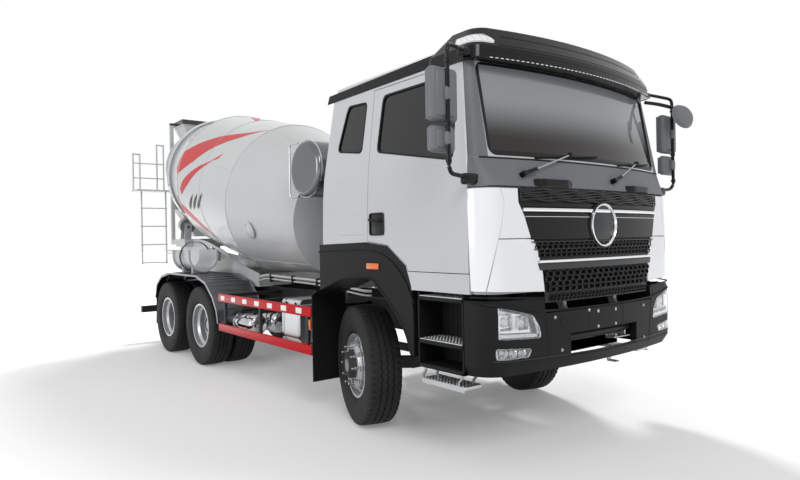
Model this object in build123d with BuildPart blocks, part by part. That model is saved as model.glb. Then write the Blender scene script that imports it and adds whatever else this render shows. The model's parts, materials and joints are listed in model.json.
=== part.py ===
"""Concrete mixer truck: a three-axle carrier with a tilt cab and a revolving drum.

Millimetres. +X is forward, +Y is the truck's left, +Z is up. The origin is on the ground,
at the middle of the overall length and width. Every place along the truck is written as a
distance ahead of the front axle, negative behind it, through ahead().
"""

import os
from math import cos, radians, sin, tan

from build123d import *

os.makedirs("parts", exist_ok=True)

# ---------------------------------------------------------------- driving dimensions

front_reach = 1790.0  # front axle to the foremost point of the bumper
rear_reach = 7200.0  # front axle to the rearmost edge of the charge hopper
wheelbase = 3770.0  # front axle to the first rear axle
bogie_spacing = 1360.0  # first to second rear axle

front_axle_x = (rear_reach - front_reach) / 2
running_gap = 0.3  # between curved faces that move on each other
seat_gap = 0.3  # between a piece and the one that carries it

# wheels
tyre_radius = 542.5
tyre_width = 295.0
bead_radius = 286.0
flange_radius = 298.5
rim_half_width = 122.0
rim_wall = 9.0
front_track_half = 1025.0
rear_outer_half = 1085.0
dual_spacing = 330.0
disc_offset = 150.0
disc_wall = 14.0
hub_radius = 132.0
brake_radius = 215.0
sleeve_radius = 72.0
stud_circle_radius = 167.5
hand_hole_radius = 24.0
hand_hole_circle = 205.0
hand_hole_count = 10

# steering
kingpin_half = 830.0
kingpin_radius = 20.0
kingpin_clearance = 0.05
steer_rest_deg = -17.0
steer_arm = 220.0
spindle_radius = 42.0
eye_radius = 48.0
eye_height = 150.0
yoke_height = 58.0
yoke_gap = 1.0

# ladder frame
frame_top = 1060.0
frame_depth = 290.0
frame_half = 430.0
frame_flange = 85.0
frame_wall = 9.0
frame_front = 1600.0
frame_rear = -6380.0

# cab
cab_floor_z = 1400.0
cab_floor_thick = 45.0
cab_wall = 60.0
panel_thick = 30.0
panel_gap = 6.0
firewall_thick = 40.0
roof_thick = 45.0
rear_corner_radius = 70.0
door_gap = 6.0
glass_inset = 10.0
glass_thick = 6.0
cab_pivot_x = 1668.0
cab_pivot_z = 1050.0
cab_pivot_tube = 30.0
cab_leg_y = 340.0
cab_leg_thick = 40.0
cab_eye_wall = 13.0

# drum
drum_tilt_deg = 12.7
drum_front_x = -1900.0
drum_front_z = 1980.0
drum_wall = 8.0
ring_radius = 950.0
ring_width = 90.0
ring_station = 4020.0
roller_radius = 130.0
roller_width = 110.0
roller_spread_deg = 33.0
roller_pin_radius = 28.0
gearbox_radius = 215.0


def ahead(distance):
    """The X of a place given by its distance ahead of the front axle."""
    return front_axle_x + distance


def block(x, y, z, mode=Mode.ADD):
    """A block that spans the ranges x, y and z."""
    with Locations(((x[0] + x[1]) / 2, (y[0] + y[1]) / 2, (z[0] + z[1]) / 2)):
        Box(x[1] - x[0], y[1] - y[0], z[1] - z[0], mode=mode)


def rod(start, end, radius, mode=Mode.ADD):
    """A round bar from start to end."""
    run = Vector(*end) - Vector(*start)
    with BuildSketch(Plane(origin=start, z_dir=run)) as end_face:
        Circle(radius)
    extrude(end_face.sketch, amount=run.length, mode=mode)


def side_plate(points, y, thick, mode=Mode.ADD):
    """A plate with an outline of (X, Z) points, from y outwards by thick."""
    with BuildSketch(Plane.XZ.offset(-y)) as outline:
        with BuildLine():
            Polyline(*points, close=True)
        make_face()
    extrude(outline.sketch, amount=-thick, mode=mode)


def write(piece, name):
    """Labels a finished piece and writes its STEP file."""
    piece.part.label = name
    export_step(piece.part, f"parts/{name}.step")


# ---------------------------------------------------------------- ladder frame

cross_member_x = [1540.0, 1150.0, -760.0, -2250.0, -3250.0, -4450.0, -5750.0, -6340.0]
cross_member_radius = 60.0
fender_top_z = 1232.0
fender_thick = 10.0
# x: place of an outrigger; z: middle of the fender's sheet above it
fender_brackets = [
    dict(x=-3560.0, z=1159.0),
    dict(x=-4450.0, z=fender_top_z - fender_thick / 2),
    dict(x=-5250.0, z=1174.0),
]
outrigger_drop = 75.0  # from the sheet's middle down to the outrigger's underside
outrigger_depth = 30.0
outrigger_y = (545.0, 575.0, 1180.0)  # post's inner and outer face, end of the bar
engine_half = 300.0
engine_mount_x = [900.0, -240.0]
guard_post_x = [-820.0, -1900.0, -2900.0]
bar_rear_x = -6600.0
rear_bar_half = 1195.0
tow_x = 1624.0
tow_y = -300.0
tow_z = (880.0, 920.0)
tow_edge = 40.0  # from the hole's axis to the lug's edges
tow_hole_radius = 20.0

with BuildPart() as frame_rails:
    # each rail is a channel, open towards the middle
    block(
        (ahead(frame_rear), ahead(frame_front)),
        (frame_half - frame_flange, frame_half),
        (frame_top - frame_depth, frame_top),
    )
    block(
        (ahead(frame_rear) - 1, ahead(frame_front) + 1),
        (frame_half - frame_flange - 1, frame_half - frame_wall),
        (frame_top - frame_depth + frame_wall, frame_top - frame_wall),
        mode=Mode.SUBTRACT,
    )
    # cab hinge bracket at the front end of the rail
    side_plate(
        [
            (ahead(frame_front - 160), frame_top - frame_depth),
            (ahead(frame_front + 60), frame_top - frame_depth + 60),
            (ahead(cab_pivot_x + 34), cab_pivot_z - 20),
            (ahead(cab_pivot_x + 20), cab_pivot_z + 34),
            (ahead(cab_pivot_x - 60), cab_pivot_z + 34),
            (ahead(frame_front - 160), frame_top),
        ],
        frame_half,
        20.0,
    )
    # outriggers that carry the rear fenders, under their tops
    for row in fender_brackets:
        x = (ahead(row["x"] - 20), ahead(row["x"] + 20))
        low = row["z"] - outrigger_drop
        block(x, (frame_half, outrigger_y[1]), (990.0, 1030.0))
        block(x, outrigger_y[:2], (990.0, low + outrigger_depth))
        block(x, (outrigger_y[0], outrigger_y[2]), (low, low + outrigger_depth))
    # engine mounts between the rails and the block
    for x in engine_mount_x:
        block((ahead(x - 50), ahead(x + 50)), (engine_half, frame_half - frame_wall + 1), (880.0, 930.0))
    mirror(about=Plane.XZ)
write(frame_rails, "frame_rails")

with BuildPart() as cross_members:
    for x in cross_member_x:
        rod(
            (ahead(x), -(frame_half - frame_wall), frame_top - frame_depth / 2),
            (ahead(x), frame_half - frame_wall, frame_top - frame_depth / 2),
            cross_member_radius,
        )
    # tube of the cab's tilt pivot, between the two hinge brackets
    rod((ahead(cab_pivot_x), -frame_half, cab_pivot_z), (ahead(cab_pivot_x), frame_half, cab_pivot_z), cab_pivot_tube)
write(cross_members, "cross_members")

with BuildPart() as tow_lug:
    # front tow lug with the upright hole of a shackle's pin, saddled on the first tube
    block((ahead(cross_member_x[0]), ahead(tow_x + tow_edge)), (tow_y - tow_edge, tow_y + tow_edge), tow_z)
    rod(
        (ahead(cross_member_x[0]), tow_y - tow_edge - 5, frame_top - frame_depth / 2),
        (ahead(cross_member_x[0]), tow_y + tow_edge + 5, frame_top - frame_depth / 2),
        cross_member_radius + seat_gap,
        Mode.SUBTRACT,
    )
    rod((ahead(tow_x), tow_y, tow_z[0] - 5), (ahead(tow_x), tow_y, tow_z[1] + 5), tow_hole_radius, Mode.SUBTRACT)
write(tow_lug, "tow_lug")

hanger_y = (360.0, 400.0)
hanger_wide = 60.0
bar_z = (490.0, 600.0)
with BuildPart() as underrun_bar:
    # hangers lie on the rails' lower flanges
    low = frame_top - frame_depth + frame_wall
    block((ahead(bar_rear_x), ahead(frame_rear + 100)), hanger_y, (low, low + hanger_wide))
    block((ahead(bar_rear_x), ahead(bar_rear_x + hanger_wide)), hanger_y, (bar_z[0] + 10, low + hanger_wide))
    mirror(about=Plane.XZ)
    block((ahead(bar_rear_x - 40), ahead(bar_rear_x + 40)), (-rear_bar_half, rear_bar_half), bar_z)
write(underrun_bar, "underrun_bar")

# ---------------------------------------------------------------- engine

engine_x = (-350.0, 1020.0)
engine_z = (640.0, 1500.0)

with BuildPart() as engine:
    block((ahead(engine_x[0]), ahead(engine_x[1])), (-engine_half, engine_half), engine_z)
write(engine, "engine")

# ---------------------------------------------------------------- front axle and springs

axle_z = tyre_radius

with BuildPart() as front_axle:
    block((ahead(-45), ahead(45)), (-560.0, 560.0), (axle_z - 95, axle_z + 15))
    with BuildSketch(Plane.YZ.offset(ahead(-45))):
        with BuildLine():
            Polyline(
                (540.0, axle_z - 95),
                (kingpin_half, axle_z - 55),
                (kingpin_half, axle_z + 55),
                (540.0, axle_z + 15),
                close=True,
            )
        make_face()
    extrude(amount=90)
    rod(
        (ahead(0), kingpin_half, axle_z - eye_height / 2),
        (ahead(0), kingpin_half, axle_z + eye_height / 2),
        eye_radius,
    )
    rod(
        (ahead(0), kingpin_half, axle_z - eye_height),
        (ahead(0), kingpin_half, axle_z + eye_height),
        kingpin_radius + kingpin_clearance,
        mode=Mode.SUBTRACT,
    )
    mirror(about=Plane.XZ)
write(front_axle, "front_axle")

spring_rows = [
    # x: middle, reach: half length, z: underside at the middle, leaves, width, y: middle
    dict(x=0.0, reach=760.0, z=axle_z + 15, leaves=4, y=frame_half - 45),
    dict(x=-(wheelbase + bogie_spacing / 2), reach=620.0, z=820.0, leaves=5, y=frame_half + 75),
]
leaf_thick = 16.0
leaf_width = 80.0

with BuildPart() as leaf_springs:
    for row in spring_rows:
        for leaf in range(row["leaves"]):
            reach = row["reach"] * (1 - 0.16 * (row["leaves"] - 1 - leaf))
            block(
                (ahead(row["x"] - reach), ahead(row["x"] + reach)),
                (row["y"] - leaf_width / 2, row["y"] + leaf_width / 2),
                (row["z"] + leaf * leaf_thick, row["z"] + (leaf + 1) * leaf_thick),
            )
    front = spring_rows[0]
    for end in (-1, 1):
        # shackle up to the rail's lower flange
        block(
            (ahead(end * (front["reach"] - 30) - 25), ahead(end * (front["reach"] - 30) + 25)),
            (front["y"] - 25, front["y"] + 25),
            (front["z"] + 3.9 * leaf_thick, frame_top - frame_depth),
        )
    rear = spring_rows[1]
    # trunnion seat between the rail and the pack
    block(
        (ahead(rear["x"] - 90), ahead(rear["x"] + 90)),
        (frame_half, rear["y"] + leaf_width / 2),
        (rear["z"] + 4.9 * leaf_thick, frame_top - 80),
    )
    mirror(about=Plane.XZ)
write(leaf_springs, "leaf_springs")

# ---------------------------------------------------------------- driven rear axles

rear_axle_x = [-wheelbase, -(wheelbase + bogie_spacing)]
tube_radius = 75.0
diff_radius = 215.0
pad_inset = 110.0  # of the spring pads, from the housing towards the trunnion
pad_top_z = spring_rows[1]["z"] + (spring_rows[1]["leaves"] - 1) * leaf_thick
spindle_end_half = 1010.0
shaft_radius = 50.0

with BuildPart() as drive_axles:
    for x in rear_axle_x:
        rod((ahead(x), -640.0, axle_z), (ahead(x), 640.0, axle_z), tube_radius)
        rod((ahead(x), -spindle_end_half, axle_z), (ahead(x), spindle_end_half, axle_z), spindle_radius)
        with Locations((ahead(x), 0, axle_z)):
            Sphere(diff_radius)
    # torque rods and spring pads tie the two housings to the trunnion
    for side in (-1, 1):
        block(
            (ahead(rear_axle_x[1] - 40), ahead(rear_axle_x[0] + 40)),
            (side * 505.0 - 40, side * 505.0 + 40),
            (axle_z - 40, axle_z + 40),
        )
        for x in rear_axle_x:
            inwards = 1 if x < -(wheelbase + bogie_spacing / 2) else -1
            reach = x + inwards * pad_inset
            block(
                (ahead(reach - 45), ahead(reach + 45)),
                (side * 505.0 - 40, side * 505.0 + 40),
                (axle_z, pad_top_z - seat_gap),
            )
    # propeller shafts: gearbox to the first axle, and between the two axles
    rod((ahead(engine_x[0] - 5), 0, 775.0), (ahead(rear_axle_x[0] + 180), 0, 620.0), shaft_radius)
    rod((ahead(rear_axle_x[0]), 0, axle_z + 90), (ahead(rear_axle_x[1]), 0, axle_z + 90), shaft_radius)
write(drive_axles, "drive_axles")

# ---------------------------------------------------------------- wheels


def wheel_plane(x, y, heading_deg):
    """The plane through a wheel's middle whose X is the axle, outwards, and whose Y is up."""
    side = 1 if y > 0 else -1
    turn = radians(heading_deg)
    outward = (-side * sin(turn), side * cos(turn), 0)
    return Plane(origin=(x, y, axle_z), x_dir=outward, z_dir=(outward[1], -outward[0], 0))


def tyre_section(plane, middle):
    """A tyre's cross section; middle is its mid plane along the axle."""
    half = tyre_width / 2
    tread_half = half - 22
    shoulder = tyre_radius - 14
    with BuildSketch(plane) as section:
        with BuildLine():
            Polyline(
                (middle - tread_half, tyre_radius),
                (middle + tread_half, tyre_radius),
                (middle + half - 6, shoulder - 12),
            )
            ThreePointArc(
                (middle + half - 6, shoulder - 12),
                (middle + half, (tyre_radius + bead_radius) / 2 + 10),
                (middle + rim_half_width - 14, bead_radius + 12),
            )
            Polyline(
                (middle + rim_half_width - 14, bead_radius + 12),
                (middle + rim_half_width - 14, bead_radius),
                (middle - rim_half_width + 14, bead_radius),
                (middle - rim_half_width + 14, bead_radius + 12),
            )
            ThreePointArc(
                (middle - rim_half_width + 14, bead_radius + 12),
                (middle - half, (tyre_radius + bead_radius) / 2 + 10),
                (middle - half + 6, shoulder - 12),
            )
            Line((middle - half + 6, shoulder - 12), (middle - tread_half, tyre_radius))
        make_face()
    return section.sketch


def rim_section(plane, middle):
    """A rim barrel's cross section, with its two flanges and its well."""
    outer = bead_radius - seat_gap
    well = outer - 34
    edge = rim_half_width
    with BuildSketch(plane) as section:
        with BuildLine():
            Polyline(
                (middle - edge, flange_radius),
                (middle - edge + 12, flange_radius),
                (middle - edge + 12, outer),
                (middle - 60, outer),
                (middle - 34, well),
                (middle + 34, well),
                (middle + 60, outer),
                (middle + edge - 12, outer),
                (middle + edge - 12, flange_radius),
                (middle + edge, flange_radius),
                (middle + edge, outer - rim_wall),
                (middle + 64, outer - rim_wall),
                (middle + 38, well - rim_wall),
                (middle - 38, well - rim_wall),
                (middle - 64, outer - rim_wall),
                (middle - edge, outer - rim_wall),
                close=True,
            )
        make_face()
    return section.sketch


def disc_section(plane, middle, face, bore):
    """A wheel disc's cross section, from the rim's well to its bolting face."""
    root = bead_radius - seat_gap - 34 - rim_wall / 2
    lean = 1 if face > middle else -1
    with BuildSketch(plane) as section:
        with BuildLine():
            Polyline(
                (middle + lean * 20, root),
                (middle + lean * 20 + lean * disc_wall, root),
                (face - lean * 20, stud_circle_radius + 38),
                (face, stud_circle_radius + 22),
                (face, bore),
                (face - lean * disc_wall, bore),
                (face - lean * disc_wall, stud_circle_radius + 16),
                (face - lean * (20 + disc_wall), stud_circle_radius + 32),
                close=True,
            )
        make_face()
    return section.sketch


def hand_holes(plane, start, reach):
    """Cuts the ring of hand holes through a disc, from start along the axle by reach."""
    across = Plane(origin=plane.origin + plane.x_dir * start, z_dir=plane.x_dir)
    with BuildSketch(across) as holes:
        with PolarLocations(hand_hole_circle, hand_hole_count):
            Circle(hand_hole_radius)
    extrude(holes.sketch, amount=reach, mode=Mode.SUBTRACT)


def hub_section(plane, inner, outer, cap):
    """A hub's cross section: brake drum open to the inside, bearing sleeve, flange and cap."""
    bore = spindle_radius + running_gap
    with BuildSketch(plane) as section:
        with BuildLine():
            Polyline(
                (inner, brake_radius - 14),
                (inner, brake_radius),
                (outer - 30, brake_radius),
                (outer - 30, brake_radius - 15),
                (outer - 11, brake_radius - 15),
                (outer - 11, hub_radius),
                (cap - 10, hub_radius - 26),
                (cap, hub_radius - 40),
                (cap, 0),
                (cap - 12, 0),
                (cap - 12, bore),
                (inner + 40, bore),
                (inner + 40, sleeve_radius),
                (outer - 52, sleeve_radius),
                (outer - 52, brake_radius - 14),
                close=True,
            )
        make_face()
    return section.sketch


# columns: name, distance ahead of the front axle, side, heading, twin wheels
wheel_rows = [
    dict(name="front_right", x=0.0, side=-1, heading=steer_rest_deg, twin=False),
    dict(name="front_left", x=0.0, side=1, heading=steer_rest_deg, twin=False),
    dict(name="rear_right_1", x=rear_axle_x[0], side=-1, heading=0.0, twin=True),
    dict(name="rear_left_1", x=rear_axle_x[0], side=1, heading=0.0, twin=True),
    dict(name="rear_right_2", x=rear_axle_x[1], side=-1, heading=0.0, twin=True),
    dict(name="rear_left_2", x=rear_axle_x[1], side=1, heading=0.0, twin=True),
]
scrub = front_track_half - kingpin_half

for row in wheel_rows:
    turn = radians(row["heading"])
    if row["twin"]:
        centre_x = ahead(row["x"])
        centre_y = row["side"] * rear_outer_half
        middles = [0.0, -dual_spacing]
        faces = [-disc_offset, -dual_spacing + disc_offset]
        hub_inner, hub_outer, hub_cap = -dual_spacing - 90, -dual_spacing / 2 + 16, 20.0
    else:
        # the wheel swings with its knuckle about the kingpin
        centre_x = ahead(row["x"]) - row["side"] * scrub * sin(turn)
        centre_y = row["side"] * (kingpin_half + scrub * cos(turn))
        middles = [0.0]
        faces = [disc_offset]
        hub_inner, hub_outer, hub_cap = -70.0, disc_offset, disc_offset + 50
    plane = wheel_plane(centre_x, centre_y, row["heading"])
    spin = Axis(plane.origin, plane.x_dir)

    with BuildPart() as tyre:
        for middle in middles:
            revolve(tyre_section(plane, middle), axis=spin)
    write(tyre, f"tyre_{row['name']}")

    with BuildPart() as rim:
        for middle in middles:
            revolve(rim_section(plane, middle), axis=spin)
        for middle, face in zip(middles, faces):
            revolve(disc_section(plane, middle, face, hub_radius - 20), axis=spin)
        hand_holes(plane, min(faces + middles) - 10, abs(max(faces + middles) - min(faces + middles)) + 20)
        revolve(hub_section(plane, hub_inner, hub_outer, hub_cap), axis=spin)
    write(rim, f"rim_{row['name']}")

# ---------------------------------------------------------------- steering knuckles

arm_z = axle_z - eye_height / 2 - yoke_gap - yoke_height / 2
rod_pin_radius = 14.0
tie_rod_radius = 22.0


def knuckle_plane(side):
    """The plane at a kingpin, turned with the wheels; its X is the wheel's heading."""
    turn = radians(steer_rest_deg)
    return Plane(
        origin=(ahead(0), side * kingpin_half, axle_z),
        x_dir=(cos(turn), sin(turn), 0),
        z_dir=(0, 0, 1),
    )


for side, name in ((-1, "knuckle_right"), (1, "knuckle_left")):
    here = knuckle_plane(side)
    with BuildPart() as knuckle:
        with BuildSketch(here.offset(-eye_height / 2 - yoke_gap - yoke_height)):
            Circle(kingpin_radius)
        extrude(amount=eye_height + 2 * yoke_gap + 2 * yoke_height)
        for start in (-eye_height / 2 - yoke_gap - yoke_height, eye_height / 2 + yoke_gap):
            with BuildSketch(here.offset(start)):
                Circle(eye_radius)
                with Locations((0, side * 50)):
                    Rectangle(80, 60)
            extrude(amount=yoke_height)
        with BuildSketch(here.offset(-eye_height / 2 - yoke_gap - yoke_height)):
            with Locations((0, side * 70)):
                Rectangle(120, 30)
        extrude(amount=eye_height + 2 * yoke_gap + 2 * yoke_height)
        # spindle out to the hub's cap
        out = here.y_dir * side
        start = here.origin + out * 70
        with BuildSketch(Plane(origin=start, z_dir=out)):
            Circle(spindle_radius)
        extrude(amount=scrub + disc_offset + 30 - 70)
        # steering arm, back and inwards to the tie rod's pin
        with BuildSketch(here.offset(arm_z - axle_z - yoke_height / 2)):
            with BuildLine():
                Polyline((0, -30), (-steer_arm - 30, -24), (-steer_arm - 30, 24), (0, 30), close=True)
            make_face()
        extrude(amount=yoke_height / 2)
        with BuildSketch(here.offset(arm_z - axle_z)):
            with Locations((-steer_arm, 0)):
                Circle(rod_pin_radius)
        extrude(amount=34)
    write(knuckle, name)


def rod_pin(side):
    """The tie rod's pin on one steering arm, at the rest pose."""
    here = knuckle_plane(side)
    return here.origin + here.x_dir * -steer_arm


tie_rod_z = arm_z + 6
with BuildPart() as tie_rod:
    right = rod_pin(-1)
    left = rod_pin(1)
    rod((right.X, right.Y, tie_rod_z + 10), (left.X, left.Y, tie_rod_z + 10), tie_rod_radius - 8)
    for pin in (right, left):
        rod((pin.X, pin.Y, tie_rod_z - 2), (pin.X, pin.Y, tie_rod_z + 24), tie_rod_radius + 6)
    rod(
        (right.X, right.Y, tie_rod_z - 10),
        (right.X, right.Y, tie_rod_z + 40),
        rod_pin_radius + running_gap,
        mode=Mode.SUBTRACT,
    )
    rod(
        (left.X, left.Y, tie_rod_z - 10),
        (left.X, left.Y, tie_rod_z + 40),
        rod_pin_radius + 1.0,
        mode=Mode.SUBTRACT,
    )
write(tie_rod, "tie_rod")

# ---------------------------------------------------------------- cab forms

# One row a height. half: half width; rear: rear wall behind the front axle; nose: front
# ahead of it; bow: how far the front's ends lie behind its middle; corner: plan radius.
cab_sections = [
    dict(z=1180.0, half=1245.0, rear=500.0, nose=front_reach - 5, bow=110.0, corner=230.0),
    dict(z=2045.0, half=1245.0, rear=470.0, nose=1757.0, bow=115.0, corner=200.0),
    dict(z=2250.0, half=1238.0, rear=455.0, nose=1700.0, bow=150.0, corner=90.0),
    dict(z=2980.0, half=1165.0, rear=370.0, nose=1575.0, bow=140.0, corner=75.0),
    dict(z=3090.0, half=1135.0, rear=350.0, nose=1510.0, bow=130.0, corner=90.0),
    dict(z=3150.0, half=1030.0, rear=260.0, nose=1380.0, bow=110.0, corner=150.0),
]
cab_low_z = cab_sections[0]["z"]
cowl_low_z = cab_sections[1]["z"]
cowl_high_z = cab_sections[2]["z"]
roof_z = cab_sections[-1]["z"]
cab_half = cab_sections[0]["half"]
door_front_x = 1506.0
front_zone_x = door_front_x + door_gap


def plan_outline(row, inset, nose_inset):
    """A body's outline in plan at one height, drawn in by inset, and at the nose by nose_inset."""
    half = row["half"] - inset
    nose = ahead(row["nose"]) - nose_inset
    shoulder = nose - row["bow"]
    rear = ahead(-row["rear"]) + inset
    with BuildSketch(Plane.XY.offset(row["z"])) as outline:
        with BuildLine():
            Polyline((shoulder, half), (rear, half), (rear, -half), (shoulder, -half))
            ThreePointArc((shoulder, -half), (nose, 0), (shoulder, half))
        make_face()
        fillet(outline.vertices().group_by(Axis.X)[-1], radius=max(row["corner"] - inset, 15.0))
        fillet(outline.vertices().group_by(Axis.X)[0], radius=rear_corner_radius - inset / 2)
    return outline.sketch


def form(rows, inset=0.0, nose_inset=None, mode=Mode.ADD):
    """The solid body through a table's sections, drawn in by inset."""
    ahead_inset = inset if nose_inset is None else nose_inset
    loft([plan_outline(row, inset, ahead_inset) for row in rows], ruled=True, mode=mode)


def front_prism(points, radius=0.0, grow=0.0):
    """A tall block ahead of the doors with an outline of (Y, Z) points, for cutting or keeping."""
    with BuildPart() as prism:
        with BuildSketch(Plane.YZ.offset(ahead(1150))) as outline:
            with BuildLine():
                Polyline(*points, close=True)
            make_face()
            if radius:
                fillet(outline.vertices(), radius=radius)
            if grow:
                offset(amount=grow, kind=Kind.INTERSECTION)
        extrude(amount=front_reach - 1100)
    return prism.part


def side_prism(points, side, radius=0.0, grow=0.0, inner=900.0):
    """A block across one side of the cab with an outline of (distance ahead, Z) points."""
    with BuildPart() as prism:
        with BuildSketch(Plane.XZ.offset(-side * inner)) as outline:
            with BuildLine():
                Polyline(*[(ahead(x), z) for x, z in points], close=True)
            make_face()
            if radius:
                fillet(outline.vertices(), radius=radius)
            if grow:
                offset(amount=grow, kind=Kind.INTERSECTION)
        extrude(amount=-side * (cab_half + 100 - inner))
    return prism.part


def mirrored(points):
    """The points of one half of a front outline, followed by those of the other half."""
    return points + [(-y, z) for y, z in reversed(points)]


door_outline = [
    (302.0, 1668.0),
    (578.0, 1636.0),
    (819.0, 1478.0),
    (842.0, 1432.0),
    (door_front_x, 1432.0),
    (door_front_x, 2250.0),
    (1405.0, 2955.0),
    (335.0, 2955.0),
]
door_window = [(415.0, 2412.0), (1365.0, 2240.0), (1365.0, 2560.0), (1330.0, 2893.0), (461.0, 2893.0)]
quarter_window = [(-205.0, 2487.0), (200.0, 2430.0), (238.0, 2882.0), (-66.0, 2897.0)]
windscreen = mirrored([(1095.0, 2268.0), (1100.0, 2962.0)])
rear_window = [(-480.0, 2430.0), (480.0, 2430.0), (480.0, 2860.0), (-480.0, 2860.0)]
grille_outline = mirrored([(690.0, 1200.0), (690.0, 1260.0), (915.0, 1925.0), (915.0, 2034.0)])
fairing_low_z = 1272.0
fairing_top_z = 2034.0
arch_outline = [
    (-530.0, 1100.0),
    (-530.0, 1642.0),
    (274.0, 1662.0),
    (575.0, 1629.0),
    (811.0, 1472.0),
    (872.0, 1319.0),
    (895.0, 1100.0),
]
window_radius = 45.0
glass_fit = 0.3

with BuildPart() as cab_form:
    form(cab_sections)

with BuildPart() as front_skin:
    form(cab_sections)
    form(cab_sections, panel_thick + panel_gap, mode=Mode.SUBTRACT)
    block(
        (ahead(front_zone_x), ahead(front_reach + 10)),
        (-cab_half - 10, cab_half + 10),
        (cab_low_z, cowl_high_z),
        mode=Mode.INTERSECT,
    )

with BuildPart() as panel_skin:
    form(cab_sections)
    form(cab_sections, panel_thick, mode=Mode.SUBTRACT)
    block(
        (ahead(front_zone_x), ahead(front_reach + 10)),
        (-cab_half - 10, cab_half + 10),
        (cab_low_z, cowl_high_z),
        mode=Mode.INTERSECT,
    )

with BuildPart() as cavity_low:
    form(cab_sections, cab_wall, panel_thick + panel_gap + firewall_thick)
    block(
        (ahead(-600), ahead(front_reach)),
        (-cab_half, cab_half),
        (cab_floor_z + cab_floor_thick, cowl_high_z),
        mode=Mode.INTERSECT,
    )

with BuildPart() as cavity_high:
    form(cab_sections, cab_wall)
    block(
        (ahead(-600), ahead(front_reach)),
        (-cab_half, cab_half),
        (cowl_high_z, roof_z - roof_thick),
        mode=Mode.INTERSECT,
    )

with BuildPart() as glazing:
    form(cab_sections, glass_inset)
    form(cab_sections, glass_inset + glass_thick, mode=Mode.SUBTRACT)

# ---------------------------------------------------------------- cab shell

tunnel_half = 400.0
tunnel_top = 1630.0
tunnel_front = 1290.0
tunnel_wall = 30.0
seat_y = 600.0
seat_base_x = (70.0, 560.0)
seat_base_top = 1840.0
cross_beam = (1530.0, 1716.0)

with BuildPart() as cab_shell:
    add(cab_form.part)
    add(front_skin.part, mode=Mode.SUBTRACT)
    add(cavity_low.part, mode=Mode.SUBTRACT)
    add(cavity_high.part, mode=Mode.SUBTRACT)
    # open underneath: behind the cross beam up to the floor, and below the firewall
    inner_half = cab_half - cab_wall
    block(
        (ahead(-600), ahead(cross_beam[0])),
        (-inner_half, inner_half),
        (cab_low_z - 10, cab_floor_z),
        mode=Mode.SUBTRACT,
    )
    block(
        (ahead(arch_outline[-2][0]), ahead(front_reach + 10)),
        (-cab_half - 10, cab_half + 10),
        (cab_low_z - 10, fairing_low_z + 13),
        mode=Mode.SUBTRACT,
    )
    for side in (-1, 1):
        add(side_prism(arch_outline, side, inner=inner_half - 1), mode=Mode.SUBTRACT)
        add(side_prism(door_outline, side, grow=door_gap, inner=1000.0), mode=Mode.SUBTRACT)
        add(side_prism(quarter_window, side, window_radius, inner=1000.0), mode=Mode.SUBTRACT)
    add(front_prism(windscreen, window_radius + 25), mode=Mode.SUBTRACT)
    with BuildSketch(Plane.YZ.offset(ahead(-520))):
        with BuildLine():
            Polyline(*rear_window, close=True)
        make_face()
    extrude(amount=200, mode=Mode.SUBTRACT)
    # engine tunnel
    block(
        (ahead(-430), ahead(tunnel_front)),
        (-tunnel_half, tunnel_half),
        (cab_floor_z, tunnel_top),
    )
    block(
        (ahead(-520), ahead(tunnel_front - tunnel_wall)),
        (-tunnel_half + tunnel_wall, tunnel_half - tunnel_wall),
        (cab_floor_z - 10, tunnel_top - tunnel_wall),
        mode=Mode.SUBTRACT,
    )
    for side in (-1, 1):
        # seat bases, and the legs down to the tilt pivot
        block(
            (ahead(seat_base_x[0]), ahead(seat_base_x[1])),
            (side * seat_y - 190, side * seat_y + 190),
            (cab_floor_z + cab_floor_thick - 1, seat_base_top),
        )
        leg_face = side * cab_leg_y - cab_leg_thick / 2
        side_plate(
            [
                (ahead(cross_beam[0]), fairing_low_z + 30),
                (ahead(cab_pivot_x - 42), cab_pivot_z),
                (ahead(cab_pivot_x + 38), cab_pivot_z + 20),
                (ahead(cab_pivot_x - 24), cab_pivot_z + 96),
                (ahead(cross_beam[0] + 105), fairing_low_z + 30),
            ],
            leg_face,
            cab_leg_thick,
        )
        rod(
            (ahead(cab_pivot_x), leg_face, cab_pivot_z),
            (ahead(cab_pivot_x), leg_face + cab_leg_thick, cab_pivot_z),
            cab_pivot_tube + cab_eye_wall,
        )
        rod(
            (ahead(cab_pivot_x), leg_face - 5, cab_pivot_z),
            (ahead(cab_pivot_x), leg_face + cab_leg_thick + 5, cab_pivot_z),
            cab_pivot_tube + running_gap,
            mode=Mode.SUBTRACT,
        )
write(cab_shell, "cab_shell")


def pane(opening):
    """The part of the glazing that fills one opening."""
    with BuildPart() as filled:
        add(glazing.part)
        add(opening, mode=Mode.INTERSECT)
    return filled.part


def rear_prism(points, radius, grow=0.0):
    """A block across the cab's rear wall with an outline of (Y, Z) points."""
    with BuildPart() as prism:
        with BuildSketch(Plane.YZ.offset(ahead(-520))) as outline:
            with BuildLine():
                Polyline(*points, close=True)
            make_face()
            fillet(outline.vertices(), radius=radius)
            if grow:
                offset(amount=grow, kind=Kind.INTERSECTION)
        extrude(amount=200)
    return prism.part


fixed_panes = [
    pane(front_prism(windscreen, window_radius + 25, -glass_fit)),
    pane(side_prism(quarter_window, -1, window_radius, -glass_fit)),
    pane(side_prism(quarter_window, 1, window_radius, -glass_fit)),
    pane(rear_prism(rear_window, window_radius, -glass_fit)),
]
with BuildPart() as cab_windows:
    for fixed_pane in fixed_panes:
        add(fixed_pane)
write(cab_windows, "cab_windows")

# ---------------------------------------------------------------- doors

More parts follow.
